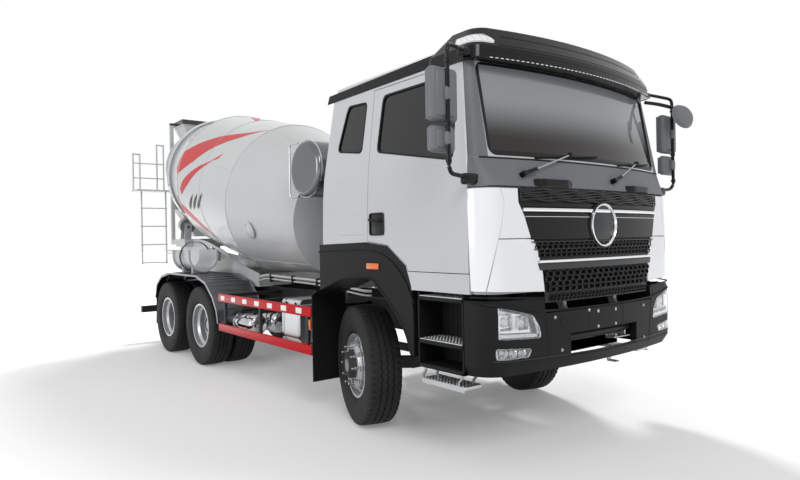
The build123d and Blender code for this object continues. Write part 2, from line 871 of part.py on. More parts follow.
# hinge barrels on the door's front edge
door_barrel_z = (1540.0, 1950.0)
door_barrel_tall = 50.0
door_barrel_radius = 4.0
door_barrel_inset = 2.0
for side, name in ((-1, "right"), (1, "left")):
    leaf_prism = side_prism(door_outline, side, inner=1000.0)
    window_prism = side_prism(door_window, side, window_radius, inner=1000.0)
    with BuildPart() as door:
        form(cab_sections)
        form(cab_sections, cab_wall, mode=Mode.SUBTRACT)
        add(leaf_prism, mode=Mode.INTERSECT)
        add(window_prism, mode=Mode.SUBTRACT)
        for low in door_barrel_z:
            start = (ahead(door_front_x), side * (cab_half - door_barrel_inset), low)
            rod(start, (start[0], start[1], low + door_barrel_tall), door_barrel_radius)
    write(door, f"door_{name}")

    with BuildPart() as door_glass:
        add(pane(side_prism(door_window, side, window_radius, -glass_fit, inner=1000.0)))
    write(door_glass, f"door_glass_{name}")

# ---------------------------------------------------------------- front panels

flap_hinge_x = cab_sections[1]["nose"]
flap_hinge_z = (fairing_top_z + cowl_low_z - 5) / 2
flap_barrel_radius = 7.0
flap_barrel_y = (90.0, 170.0)

with BuildPart() as grille_panel:
    add(panel_skin.part)
    add(front_prism(grille_outline), mode=Mode.INTERSECT)
    for side in (-1, 1):
        rod(
            (ahead(flap_hinge_x), side * flap_barrel_y[0], flap_hinge_z),
            (ahead(flap_hinge_x), side * flap_barrel_y[1], flap_hinge_z),
            flap_barrel_radius,
        )
write(grille_panel, "grille_panel")

fairing_outline = [
    (grille_outline[1][0] + panel_gap, fairing_low_z),
    (grille_outline[2][0] + panel_gap, grille_outline[2][1]),
    (grille_outline[3][0] + panel_gap, fairing_top_z),
    (cab_half + 20, fairing_top_z),
    (cab_half + 20, fairing_low_z + 30),
    (1000.0, fairing_low_z + 14),
]
with BuildPart() as corner_fairings:
    add(panel_skin.part)
    add(front_prism(fairing_outline), mode=Mode.INTERSECT)
    mirror(about=Plane.XZ)
write(corner_fairings, "corner_fairings")

with BuildPart() as cowl:
    add(panel_skin.part)
    block(
        (ahead(1000), ahead(front_reach)),
        (-cab_half - 10, cab_half + 10),
        (cowl_low_z - 5, cowl_high_z),
        mode=Mode.INTERSECT,
    )
    # seats of the front flap's hinge barrels
    for side in (-1, 1):
        rod(
            (ahead(flap_hinge_x), side * (flap_barrel_y[0] - 1), flap_hinge_z),
            (ahead(flap_hinge_x), side * (flap_barrel_y[1] + 1), flap_hinge_z),
            flap_barrel_radius + running_gap,
            mode=Mode.SUBTRACT,
        )
write(cowl, "cowl")

# ---------------------------------------------------------------- wheel arch panels

arch_inner = [
    (450.0, 1266.0),
    (640.0, 1120.0),
    (800.0, 930.0),
    (855.0, 774.0),
]
arch_low_z = 774.0
arch_crown = [(-147.0, 1324.0), (49.0, 1352.0), (331.0, 1357.0)]
arch_rear = (-498.0, 1208.0)
liner_depth = 420.0
arch_points = (
    [(arch_rear[0], 1641.0), (274.0, 1661.0), (574.0, 1628.0), (810.0, 1471.5), (871.0, 1319.0)]
    + [(895.0, 1118.0), (895.0, arch_low_z)]
    + list(reversed(arch_inner))
    + list(reversed(arch_crown))
    + [arch_rear]
)
liner_thick = 12.0

with BuildPart() as cab_arches:
    side_plate([(ahead(x), z) for x, z in arch_points], cab_half - cab_wall, cab_wall)
    side_plate(
        [(ahead(x), z) for x, z in [arch_rear] + arch_crown + arch_inner]
        + [(ahead(x + liner_thick * 0.7), z + liner_thick) for x, z in reversed(arch_inner)]
        + [(ahead(x), z + liner_thick) for x, z in reversed(arch_crown)]
        + [(ahead(arch_rear[0]), arch_rear[1] + liner_thick)],
        cab_half - liner_depth,
        liner_depth - cab_wall + 1,
    )
    mirror(about=Plane.XZ)
write(cab_arches, "cab_arches")

# ---------------------------------------------------------------- sun visor

visor_sections = [
    dict(z=2962.0, half=1178.0, rear=-1000.0, nose=1690.0, bow=170.0, corner=110.0),
    dict(z=3060.0, half=1165.0, rear=-1000.0, nose=1680.0, bow=170.0, corner=110.0),
    dict(z=3215.0, half=1070.0, rear=-1150.0, nose=1600.0, bow=150.0, corner=130.0),
]

with BuildPart() as sun_visor:
    form(visor_sections)
    add(cab_form.part, mode=Mode.SUBTRACT)
write(sun_visor, "sun_visor")

# ---------------------------------------------------------------- mirrors

mirror_tube_x = 1515.0
mirror_tube_y = 1440.0
mirror_tube_radius = 16.0
mirror_reach = 1600.0
# columns: x range, y range, z range of each head
mirror_heads = [
    dict(x=(1470.0, 1560.0), y=(1345.0, mirror_reach), z=(2467.0, 2838.0)),
    dict(x=(1470.0, 1550.0), y=(1362.0, mirror_reach - 10), z=(2257.0, 2446.0)),
]
front_mirror_centre = (1700.0, 1438.0, 2800.0)
front_mirror_half = (155.0, 120.0)  # half its width and height

with BuildPart() as mirrors:
    for head in mirror_heads:
        block((ahead(head["x"][0]), ahead(head["x"][1])), head["y"], head["z"])
    rod(
        (ahead(mirror_tube_x), mirror_tube_y, 2110.0),
        (ahead(mirror_tube_x), mirror_tube_y, 3000.0),
        mirror_tube_radius,
    )
    rod((ahead(1560.0), 1180.0, 2090.0), (ahead(mirror_tube_x + 15), mirror_tube_y, 2122.0), 30.0)
    rod((ahead(1445.0), 1100.0, 3025.0), (ahead(mirror_tube_x), mirror_tube_y + 10, 3000.0), 22.0)
    mirror(about=Plane.XZ)
    # oval front mirror on its arm, on the far side from the driver
    centre = (ahead(front_mirror_centre[0]), front_mirror_centre[1], front_mirror_centre[2])
    rod((ahead(1445.0), 1120.0, 2925.0), centre, 22.0)
    with BuildSketch(Plane(origin=centre, x_dir=(0.2, 1, 0), z_dir=(-1, 0.2, -0.25))):
        Ellipse(*front_mirror_half)
    extrude(amount=45, both=True)
    add(cab_form.part, mode=Mode.SUBTRACT)
    add(sun_visor.part, mode=Mode.SUBTRACT)
write(mirrors, "mirrors")

# ---------------------------------------------------------------- cab interior

seat_half = 250.0
cushion_x = (60.0, 600.0)
cushion_z = (seat_base_top + seat_gap, 1970.0)
back_thick = 120.0

with BuildPart() as seats:
    for side in (-1, 1):
        block(
            (ahead(cushion_x[0]), ahead(cushion_x[1])),
            (side * seat_y - seat_half, side * seat_y + seat_half),
            cushion_z,
        )
        block(
            (ahead(cushion_x[0] - 60), ahead(cushion_x[0] + back_thick - 60)),
            (side * seat_y - seat_half, side * seat_y + seat_half),
            (cushion_z[1] - 40, 2560.0),
        )
        block(
            (ahead(cushion_x[0] - 50), ahead(cushion_x[0] + 50)),
            (side * seat_y - 140, side * seat_y + 140),
            (2559.0, 2740.0),
        )
write(seats, "seats")

wheel_centre = (960.0, -seat_y, 2090.0)
column_foot = (1420.0, -seat_y, 1760.0)
wheel_ring_radius = 225.0
wheel_tube_radius = 16.0
dash_half = 1140.0
dash_points = [(1690.0, 1640.0), (1500.0, 1640.0), (1330.0, 1900.0), (1340.0, 2110.0), (1480.0, 2190.0), (1640.0, 2190.0)]
column_run = Vector(
    wheel_centre[0] - column_foot[0], wheel_centre[1] - column_foot[1], wheel_centre[2] - column_foot[2]
)
column_dir = column_run.normalized()
column_stop = 60.0  # the fixed column ends this far short of the steering wheel's centre

with BuildPart() as dashboard:
    with BuildSketch(Plane.XZ.offset(-dash_half)):
        with BuildLine():
            Polyline(*[(ahead(x), z) for x, z in dash_points], close=True)
        make_face()
    extrude(amount=2 * dash_half)
    foot = Vector(ahead(column_foot[0]), column_foot[1], column_foot[2])
    top = Vector(ahead(wheel_centre[0]), wheel_centre[1], wheel_centre[2]) - column_dir * column_stop
    rod(tuple(foot), tuple(top), 38.0)
    form(cab_sections, panel_thick + panel_gap + firewall_thick + 1.0, mode=Mode.INTERSECT)
write(dashboard, "dashboard")

wheel_plane_at = Plane(
    origin=(ahead(wheel_centre[0]), wheel_centre[1], wheel_centre[2]),
    x_dir=(0, 1, 0),
    z_dir=column_dir,
)
with BuildPart() as steering_wheel:
    with BuildSketch(Plane(origin=wheel_plane_at.origin, x_dir=(0, 1, 0), z_dir=wheel_plane_at.y_dir * -1)) as tube:
        with Locations((wheel_ring_radius, 0)):
            Circle(wheel_tube_radius)
    revolve(tube.sketch, axis=Axis(wheel_plane_at.origin, column_dir))
    with BuildSketch(wheel_plane_at.offset(-12)):
        for turn in (0, 120, 240):
            with Locations(Location((0, 0), turn)):
                with Locations((wheel_ring_radius / 2, 0)):
                    Rectangle(wheel_ring_radius, 34)
    extrude(amount=20)
    with BuildSketch(wheel_plane_at.offset(-column_stop + running_gap)):
        Circle(45)
    extrude(amount=column_stop + 16)
write(steering_wheel, "steering_wheel")

# ---------------------------------------------------------------- bumper and its lamps

bumper_sections = [
    dict(z=705.0, half=1210.0, rear=0.0, nose=front_reach - 45, bow=110.0, corner=215.0),
    dict(z=780.0, half=1243.0, rear=0.0, nose=front_reach - 5, bow=110.0, corner=230.0),
    dict(z=1135.0, half=1245.0, rear=0.0, nose=front_reach, bow=110.0, corner=230.0),
    dict(z=1240.0, half=1245.0, rear=0.0, nose=front_reach - 12, bow=110.0, corner=230.0),
]
bumper_wall = 55.0
bumper_rear_x = 1455.0
bumper_top_z = 1128.0
bumper_middle_half = 715.0
bumper_slot = dict(half=450.0, low=790.0, high=965.0)
headlamp = [(1138.0, 1205.0), (830.0, 1128.0), (768.0, 1040.0), (752.0, 948.0), (1138.0, 968.0)]
fog_lamp = [(1150.0, 915.0), (838.0, 892.0), (876.0, 822.0), (1150.0, 828.0)]
lamp_depth = 45.0

with BuildPart() as bumper_skin:
    form(bumper_sections)
    form(bumper_sections, bumper_wall, mode=Mode.SUBTRACT)
    block(
        (ahead(bumper_rear_x), ahead(front_reach + 10)),
        (-cab_half - 10, cab_half + 10),
        (600.0, 1300.0),
        mode=Mode.INTERSECT,
    )

lamp_prisms = []
for side in (-1, 1):
    for outline in (headlamp, fog_lamp):
        lamp_prisms.append(front_prism([(side * y, z) for y, z in outline], 18.0))
lens_prisms = []
for side in (-1, 1):
    for outline in (headlamp, fog_lamp):
        lens_prisms.append(front_prism([(side * y, z) for y, z in outline], 18.0, -glass_fit))

with BuildPart() as front_bumper:
    add(bumper_skin.part)
    for prism in lamp_prisms:
        add(prism, mode=Mode.SUBTRACT)
    block(
        (ahead(bumper_rear_x), ahead(front_reach + 10)),
        (-bumper_middle_half, bumper_middle_half),
        (bumper_top_z, 1300.0),
        mode=Mode.SUBTRACT,
    )
    block(
        (ahead(bumper_rear_x), ahead(front_reach + 10)),
        (-bumper_slot["half"], bumper_slot["half"]),
        (bumper_slot["low"], bumper_slot["high"]),
        mode=Mode.SUBTRACT,
    )
    for side in (-1, 1):
        # stays from the bumper's back to the ends of the rails
        block(
            (ahead(frame_front), ahead(front_reach - bumper_wall + 10)),
            sorted((side * 480.0, side * 540.0)),
            (800.0, 960.0),
        )
        block(
            (ahead(frame_front - 140), ahead(frame_front + 20)),
            sorted((side * (frame_half + 20), side * 540.0)),
            (800.0, 960.0),
        )
write(front_bumper, "front_bumper")

with BuildPart() as lens_skin:
    form(bumper_sections, 6.0)
    form(bumper_sections, lamp_depth, mode=Mode.SUBTRACT)

lenses = []
for prism in lens_prisms:
    with BuildPart() as lens:
        add(lens_skin.part)
        add(prism, mode=Mode.INTERSECT)
    lenses.append(lens.part)
with BuildPart() as front_lamps:
    for lens in lenses:
        add(lens)
write(front_lamps, "front_lamps")

# ---------------------------------------------------------------- cab steps

step_x = (942.0, 1445.0)
step_back = 985.0
step_top_z = 1278.0
step_low_z = 700.0
tread_z = [1215.0, 885.0]
tread_thick = 32.0
hung_step_z = 585.0
box_sheet = 18.0

with BuildPart() as cab_steps:
    block((ahead(step_x[0]), ahead(step_x[1])), (step_back, step_back + box_sheet), (step_low_z, step_top_z))
    for x in (step_x[0], step_x[1] - box_sheet):
        block((ahead(x), ahead(x + box_sheet)), (step_back, cab_half - 2), (step_low_z, step_top_z))
    for z in tread_z + [step_low_z]:
        block((ahead(step_x[0]), ahead(step_x[1])), (step_back, cab_half - 2), (z, z + tread_thick))
    for x in (step_x[0] + 40, step_x[1] - 70):
        block((ahead(x), ahead(x + 30)), (1060.0, 1070.0), (hung_step_z, step_low_z + 5))
        block((ahead(x), ahead(x + 30)), (1200.0, 1210.0), (hung_step_z, step_low_z + 5))
    block((ahead(step_x[0] + 20), ahead(step_x[1] - 20)), (1040.0, 1225.0), (hung_step_z, hung_step_z + 28))
    for x in (1020.0, 1300.0):
        block((ahead(x), ahead(x + 50)), (frame_half, step_back + 5), (840.0, 920.0))
    mirror(about=Plane.XZ)
write(cab_steps, "cab_steps")

# ---------------------------------------------------------------- front mudguards

flap_x = -675.0
flap_thick = 8.0

with BuildPart() as mudguards:
    block((ahead(flap_x), ahead(flap_x + flap_thick)), (850.0, 1240.0), (300.0, 1160.0))
    side_plate(
        [
            (ahead(flap_x), 1150.0),
            (ahead(flap_x + flap_thick), 1150.0),
            (ahead(flap_x + 105), 1196.0),
            (ahead(flap_x + 105), 1206.0),
            (ahead(flap_x + 4), 1166.0),
        ],
        850.0,
        390.0,
    )
    block((ahead(flap_x - 45), ahead(flap_x + 1)), (frame_half, 1200.0), (950.0, 1000.0))
    mirror(about=Plane.XZ)
write(mudguards, "mudguards")

# ---------------------------------------------------------------- rear fenders

fender_points = [
    (-3060.0, 640.0),
    (-3105.0, 800.0),
    (-3235.0, 965.0),
    (-3480.0, 1140.0),
    (-3840.0, fender_top_z - fender_thick / 2),
    (-4950.0, fender_top_z - fender_thick / 2),
    (-5330.0, 1160.0),
    (-5560.0, 1030.0),
    (-5650.0, 820.0),
]
fender_inner = 600.0


def bent_sheet(points, thick, y, width):
    """A sheet of one thickness bent along (distance ahead, Z) points, from y outwards."""
    with BuildPart() as made:
        with BuildSketch(Plane.XZ.offset(-y)):
            with BuildLine():
                Polyline(*[(ahead(x), z) for x, z in points])
            trace(line_width=thick)
        extrude(amount=-width)
    return made.part


with BuildPart() as rear_fenders:
    add(bent_sheet(fender_points, fender_thick, fender_inner, cab_half - fender_inner))
    add(bent_sheet(fender_points, fender_thick + 24, cab_half - 12, 12.0))
    for row in fender_brackets:
        # a pad that reaches down to its outrigger
        low = row["z"] - outrigger_drop + outrigger_depth
        block((ahead(row["x"] - 18), ahead(row["x"] + 18)), (620.0, 1160.0), (low, row["z"]))
    block(
        (ahead(-6000), ahead(-3000)),
        (fender_inner - 10, cab_half + 10),
        (fender_top_z, fender_top_z + 60),
        mode=Mode.SUBTRACT,
    )
    mirror(about=Plane.XZ)
write(rear_fenders, "rear_fenders")

# ---------------------------------------------------------------- side guards

guard_x = (-3030.0, -690.0)
guard_thick = 30.0
guard_bars_z = [(555.0, 650.0), (930.0, 1030.0)]

with BuildPart() as side_guards:
    for low, high in guard_bars_z:
        block((ahead(guard_x[0]), ahead(guard_x[1])), (cab_half - guard_thick, cab_half), (low, high))
    for x in guard_post_x:
        block(
            (ahead(x - 25), ahead(x + 25)),
            (cab_half - guard_thick - 30, cab_half - guard_thick + 1),
            (guard_bars_z[0][0], guard_bars_z[1][1]),
        )
        block(
            (ahead(x - 25), ahead(x + 25)),
            (frame_half, cab_half - guard_thick),
            (guard_bars_z[1][1] - 45, guard_bars_z[1][1]),
        )
    mirror(about=Plane.XZ)
write(side_guards, "side_guards")

# ---------------------------------------------------------------- tanks on the frame

fuel_tank_x = (-1810.0, -930.0)
tank_inner = 600.0
with BuildPart() as fuel_tank:
    with BuildSketch(Plane.YZ.offset(ahead(fuel_tank_x[0]))):
        with Locations(((tank_inner + 1150.0) / 2, 790.0)):
            RectangleRounded(1150.0 - tank_inner, 520.0, 90.0)
    extrude(amount=fuel_tank_x[1] - fuel_tank_x[0])
    for x in (fuel_tank_x[0] + 180, fuel_tank_x[1] - 180):
        block((ahead(x - 30), ahead(x + 30)), (frame_half, tank_inner + 20), (800.0, 980.0))
write(fuel_tank, "fuel_tank")

side_tank_x = (-1500.0, -1100.0)
with BuildPart() as side_tank:
    with BuildSketch(Plane.YZ.offset(ahead(side_tank_x[0]))):
        with Locations((-(tank_inner + 1130.0) / 2, 835.0)):
            RectangleRounded(1130.0 - tank_inner, 450.0, 60.0)
    extrude(amount=side_tank_x[1] - side_tank_x[0])
    for x in (side_tank_x[0] + 90, side_tank_x[1] - 90):
        block((ahead(x - 25), ahead(x + 25)), (-tank_inner - 20, -frame_half), (820.0, 980.0))
write(side_tank, "side_tank")

air_tank_x = (-3020.0, -2350.0)
air_tank_radius = 125.0
air_tank_z = 665.0
with BuildPart() as air_tanks:
    for y in (-1000.0, -715.0):
        rod((ahead(air_tank_x[0]), y, air_tank_z), (ahead(air_tank_x[1]), y, air_tank_z), air_tank_radius)
    for x in (air_tank_x[0] + 190, air_tank_x[1] - 130):
        block((ahead(x - 20), ahead(x + 20)), (-1020.0, -frame_half), (775.0, 830.0))
write(air_tanks, "air_tanks")

# ---------------------------------------------------------------- drum

tilt = radians(drum_tilt_deg)
drum_dir = Vector(-cos(tilt), 0, sin(tilt))
drum_down = Vector(-sin(tilt), 0, -cos(tilt))
drum_origin = Vector(ahead(drum_front_x), 0, drum_front_z)
# stations along the axis from the front head's seam, and the outer radius there
drum_profile = [(0.0, 748.0), (1350.0, 1046.0), (3200.0, 1066.0), (4550.0, 793.0), (5000.0, 655.0)]
drum_dome = 130.0
drum_flange_radius = 250.0
drum_flange_station = -160.0
mouth_station, mouth_radius = drum_profile[-1]


def axis_point(station, down=0.0, y=0.0):
    """A point by its station along the drum's axis, its depth below the axis and its Y."""
    return drum_origin + drum_dir * station + drum_down * down + Vector(0, y, 0)


def axis_plane(station):
    """The plane across the drum's axis at a station; its X is +Y and its Y is down."""
    return Plane(origin=axis_point(station), x_dir=(0, 1, 0), z_dir=drum_dir)


def axis_rod(start, end, radius, down=0.0, y=0.0, mode=Mode.ADD):
    """A round bar along the drum's axis between two stations."""
    rod(tuple(axis_point(start, down, y)), tuple(axis_point(end, down, y)), radius, mode)


drum_half_plane = Plane(origin=drum_origin, x_dir=drum_dir, z_dir=(0, 1, 0))


def drum_solid(inset, mouth):
    """The drum's body of revolution drawn in by inset, up to the station of its mouth."""
    rows = [(station, radius - inset) for station, radius in drum_profile[:-1]]
    with BuildSketch(drum_half_plane) as section:
        with BuildLine():
            ThreePointArc(
                (inset - drum_dome, 0),
                (inset - drum_dome * 0.7, rows[0][1] * 0.55),
                (inset / 2, rows[0][1]),
            )
            Polyline((inset / 2, rows[0][1]), *rows[1:], (mouth, mouth_radius - inset), (mouth, 0))
            Line((mouth, 0), (inset - drum_dome, 0))
        make_face()
    return section.sketch


drum_axis = Axis(drum_origin, drum_dir)
with BuildPart() as mixing_drum:
    revolve(drum_solid(0.0, mouth_station), axis=drum_axis)
    axis_rod(drum_flange_station, 0.0, drum_flange_radius)
    axis_rod(ring_station - ring_width / 2, ring_station + ring_width / 2, ring_radius)
    axis_rod(mouth_station - 40, mouth_station, mouth_radius + 28)
    revolve(drum_solid(drum_wall, mouth_station + 10), axis=drum_axis, mode=Mode.SUBTRACT)
write(mixing_drum, "mixing_drum")

# ---------------------------------------------------------------- support rollers

roller_throw = ring_radius + roller_radius + running_gap
roller_down = roller_throw * cos(radians(roller_spread_deg))
roller_y = roller_throw * sin(radians(roller_spread_deg))
roller_pin_reach = 100.0

for side, name in ((-1, "roller_right"), (1, "roller_left")):
    with BuildPart() as roller:
        low, high = ring_station - roller_width / 2, ring_station + roller_width / 2
        axis_rod(low, high, roller_radius, roller_down, side * roller_y)
        low, high = ring_station - roller_pin_reach, ring_station + roller_pin_reach
        axis_rod(low, high, roller_pin_radius, roller_down, side * roller_y)
    write(roller, name)

# ---------------------------------------------------------------- rear pedestal

plate_y = 530.0
plate_thick = 15.0
beam_z = (1620.0, 1752.0)
plate_rear_x = -6450.0
post_x = (-6980.0, -6920.0)
hopper_top_z = 3935.0
rim_depth = 90.0
post_top_z = hopper_top_z - rim_depth + 15  # its cap lies on the rim's side
post_cap = 40.0
ear_offset = 78.0
ear_thick = 18.0
ear_rise = 60.0  # above the roller's axis
ear_foot = 1190.0  # depth of the ears' feet below the drum's axis
swivel_x = -6930.0
swivel_seat_z = 1120.0

with BuildPart() as rear_pedestal:
    side_plate(
        [
            (ahead(-3300), frame_top),
            (ahead(-3300), 1240.0),
            (ahead(-3900), 1360.0),
            (ahead(-4540), 1560.0),
            (ahead(-5220), 1705.0),
            (ahead(-5640), beam_z[1]),
            (ahead(plate_rear_x), beam_z[1]),
            (ahead(plate_rear_x), 1200.0),
            (ahead(frame_rear + 20), frame_top),
        ],
        plate_y,
        plate_thick,
    )
    # the D-shaped opening below the drum
    with BuildSketch(Plane.XZ.offset(-plate_y + 10)):
        with BuildLine():
            Polyline(
                (ahead(-4420), 1470.0),
                (ahead(-4420), 1400.0),
                (ahead(-5120), 1400.0),
                (ahead(-5120), 1610.0),
                (ahead(-4960), 1610.0),
                close=True,
            )
        make_face()
    extrude(amount=-plate_thick - 20, mode=Mode.SUBTRACT)
    # foot along the rail
    block((ahead(frame_rear + 30), ahead(-3300)), (frame_half - 80, plate_y + 5), (frame_top, frame_top + 14))
    mirror(about=Plane.XZ)
    block((ahead(-6260), ahead(-5830)), (-690.0, 690.0), beam_z)
    for x in (-3400.0, -4480.0, -5500.0, -6200.0):
        block((ahead(x - 8), ahead(x + 8)), (-plate_y - 5, plate_y + 5), (frame_top + 2, 1230.0))
    # roller ears
    for station in (ring_station - ear_offset - ear_thick, ring_station + ear_offset):
        with BuildSketch(axis_plane(station)) as ears:
            middle = (roller_down - ear_rise + ear_foot) / 2
            with Locations((-roller_y, middle), (roller_y, middle)):
                Rectangle(120, ear_foot - roller_down + ear_rise)
        extrude(ears.sketch, amount=ear_thick)
    for side in (-1, 1):
        low, high = ring_station - 160, ring_station + 160
        axis_rod(low, high, roller_pin_radius + running_gap, roller_down, side * roller_y, Mode.SUBTRACT)
    # bracket of the chute's swivel
    block((ahead(swivel_x - 75), ahead(-6190)), (-75.0, 75.0), (frame_top + 1, swivel_seat_z))
    block((ahead(-6210), ahead(-6190)), (-75.0, 75.0), (frame_top + 1, beam_z[0] + 5))
write(rear_pedestal, "rear_pedestal")

post_inner = 485.0
with BuildPart() as hopper_posts:
    # each arm lies against the pedestal's plate and ends in a post that carries the hopper
    low = beam_z[0] + 40
    block((ahead(post_x[0]), ahead(-6300)), (post_inner, plate_y), (low, beam_z[1]))
    block((ahead(post_x[0]), ahead(plate_rear_x)), (post_inner, plate_y + plate_thick), (low, beam_z[1]))
    block((ahead(post_x[0]), ahead(post_x[1])), (post_inner, plate_y + plate_thick), (low, post_top_z))
    mirror(about=Plane.XZ)
write(hopper_posts, "hopper_posts")

# ---------------------------------------------------------------- front pedestal and drum drive

drive_plate_station = -350.0
with BuildPart() as front_pedestal:
    with BuildSketch(axis_plane(drive_plate_station)):
        with Locations((0, (840 - 270) / 2)):
            Rectangle(2 * 365, 840 + 270)
    extrude(amount=25)
    side_plate(
        [
            (ahead(-1345), frame_top),
            (ahead(-1790), frame_top),
            (ahead(-1615), 1800.0),
            (ahead(-1545), 1800.0),
        ],
        345.0,
        20.0,
    )
    mirror(about=Plane.XZ)
    axis_rod(-720.0, -300.0, gearbox_radius)
    axis_rod(-720.0, drum_flange_station - seat_gap, 110.0)
    block((ahead(-2300), ahead(-1000)), (-700.0, 700.0), (frame_top - 300, frame_top), mode=Mode.SUBTRACT)
write(front_pedestal, "front_pedestal")

# ---------------------------------------------------------------- water tank

water_tank_x = -1300.0
water_tank_z = 2470.0
water_tank_radius = 310.0
water_tank_half = 955.0
dome_round = 60.0
tank_post_y = (350.0, 425.0)

with BuildPart() as water_tank:
    rod(
        (ahead(water_tank_x), -water_tank_half, water_tank_z),
        (ahead(water_tank_x), water_tank_half, water_tank_z),
        water_tank_radius,
    )
    fillet(water_tank.edges().filter_by(GeomType.CIRCLE), radius=dome_round)
    for side in (-1, 1):
        y = sorted((side * tank_post_y[0], side * tank_post_y[1]))
        block((ahead(water_tank_x - 30), ahead(water_tank_x + 30)), y, (frame_top, water_tank_z - 250))
        block((ahead(water_tank_x - 160), ahead(water_tank_x + 160)), y, (2120.0, 2270.0))
write(water_tank, "water_tank")

# ---------------------------------------------------------------- charge hopper

hopper_x = (-rear_reach, -6600.0)
hopper_half = 430.0
throat_x = (-6985.0, -6785.0)
throat_half = 170.0
throat_z = 3330.0
hopper_wall = 8.0
spout_radius = 205.0
spout_up = 150.0


def tapered(top, bottom):
    """A loft between two rectangles, each given as x range, half width and height."""
    sections = []
    for x, half, z in (bottom, top):
        with BuildSketch(Plane.XY.offset(z)) as rectangle:
            with Locations((ahead((x[0] + x[1]) / 2), 0)):
                Rectangle(x[1] - x[0], 2 * half)
        sections.append(rectangle.sketch)
    with BuildPart() as made:
        loft(sections, ruled=True)
    return made.part


def drawn_in(x, amount):
    """A range of X drawn in at both ends."""
    return (x[0] + amount, x[1] - amount)


hopper_outside = tapered((hopper_x, hopper_half, hopper_top_z), (throat_x, throat_half, throat_z))
hopper_inside = tapered(
    (drawn_in(hopper_x, hopper_wall), hopper_half - hopper_wall, hopper_top_z + 1),
    (drawn_in(throat_x, hopper_wall), throat_half - hopper_wall, throat_z - 1),
)
with BuildPart() as charge_hopper:
    add(hopper_outside)
    block(
        (ahead(hopper_x[0]), ahead(hopper_x[1])),
        (-hopper_half, hopper_half),
        (hopper_top_z - rim_depth, hopper_top_z),
    )
    axis_rod(4800.0, 5240.0, spout_radius, -spout_up)
    for side in (-1, 1):
        y = sorted((side * (hopper_half - 10), side * (plate_y + plate_thick)))
        block((ahead(post_x[0]), ahead(post_x[1])), y, (post_top_z, post_top_z + post_cap))
    block(
        (ahead(hopper_x[0] + hopper_wall), ahead(hopper_x[1] - hopper_wall)),
        (-hopper_half + hopper_wall, hopper_half - hopper_wall),
        (hopper_top_z - rim_depth + hopper_wall, hopper_top_z + 1),
        mode=Mode.SUBTRACT,
    )
    add(hopper_inside, mode=Mode.SUBTRACT)
    # the way from the throat down into the spout
    block(
        (ahead(throat_x[0] + hopper_wall), ahead(throat_x[1] - hopper_wall)),
        (-throat_half + hopper_wall, throat_half - hopper_wall),
        (throat_z - 40, throat_z + 1),
        mode=Mode.SUBTRACT,
    )
    axis_rod(4790.0, 5232.0, spout_radius - hopper_wall, -spout_up, mode=Mode.SUBTRACT)
write(charge_hopper, "charge_hopper")

# ---------------------------------------------------------------- discharge funnel

funnel_x = (-7192.0, -6855.0)
funnel_half = 460.0
funnel_top_z = 2380.0
outlet_x = (-7050.0, -6870.0)
outlet_half = 140.0
outlet_z = 1805.0
shield_top_z = 3060.0

funnel_outside = tapered((funnel_x, funnel_half, funnel_top_z), (outlet_x, outlet_half, outlet_z))
funnel_inside = tapered(
    (drawn_in(funnel_x, hopper_wall), funnel_half - hopper_wall, funnel_top_z + 1),
    (drawn_in(outlet_x, hopper_wall), outlet_half - hopper_wall, outlet_z - 1),
)
with BuildPart() as discharge_funnel:
    add(funnel_outside)
    block(
        (ahead(funnel_x[0]), ahead(funnel_x[0] + hopper_wall)),
        (-funnel_half, funnel_half),
        (funnel_top_z - 5, shield_top_z),
    )
    for side in (-1, 1):
        y = sorted((side * (funnel_half - hopper_wall), side * funnel_half))
        block((ahead(funnel_x[0]), ahead(-6990)), y, (funnel_top_z - 5, shield_top_z))
        y = sorted((side * (funnel_half - 40), side * (post_inner - seat_gap)))
        block((ahead(post_x[0]), ahead(post_x[1])), y, (funnel_top_z - 70, funnel_top_z - 10))
    add(funnel_inside, mode=Mode.SUBTRACT)
write(discharge_funnel, "discharge_funnel")

# ---------------------------------------------------------------- ladder

ladder_x = -7050.0
rail_radius = 14.0
ladder_rails = [-1040.0, -610.0]
rung_z = [1335.0, 1665.0, 2000.0, 2330.0]
platform_z = 2650.0
platform_y = (-1190.0, -600.0)
platform_x = (-7110.0, -6790.0)
loop_outer = -1190.0
guard_rail_z = [2875.0, 3140.0]
inner_loop_y = [-760.0, -640.0]

with BuildPart() as ladder:
    for y in ladder_rails:
        rod((ahead(ladder_x), y, rung_z[0] - 20), (ahead(ladder_x), y, platform_z), rail_radius)
    for z in rung_z:
        rod((ahead(ladder_x), ladder_rails[0] - 20, z), (ahead(ladder_x), ladder_rails[1] + 20, z), 11.0)
    block(
        (ahead(platform_x[0]), ahead(platform_x[1])),
        platform_y,
        (platform_z - 30, platform_z),
    )
    for low, high, top in ((loop_outer + rail_radius, ladder_rails[0] - 20, 3300.0), (*inner_loop_y, 3490.0)):
        for y in (low, high):
            rod((ahead(ladder_x), y, platform_z - 5), (ahead(ladder_x), y, top), rail_radius)
        rod((ahead(ladder_x), low - rail_radius, top), (ahead(ladder_x), high + rail_radius, top), rail_radius)
    for z in guard_rail_z:
        rod((ahead(ladder_x), loop_outer + rail_radius, z), (ahead(ladder_x), inner_loop_y[1], z), 11.0)
    # ties to the post and to the pedestal's plate
    block(
        (ahead(post_x[0]), ahead(post_x[1])),
        (platform_y[1] - 10, -(plate_y + plate_thick) - seat_gap),
        (platform_z - 30, platform_z),
    )
    for z in (1545.0, 1500.0):
        rod(
            (ahead(ladder_x), ladder_rails[1], z),
            (ahead(plate_rear_x + 40), -(plate_y + plate_thick + rail_radius + seat_gap), z),
            rail_radius,
        )
write(ladder, "ladder")

# ---------------------------------------------------------------- spare chute

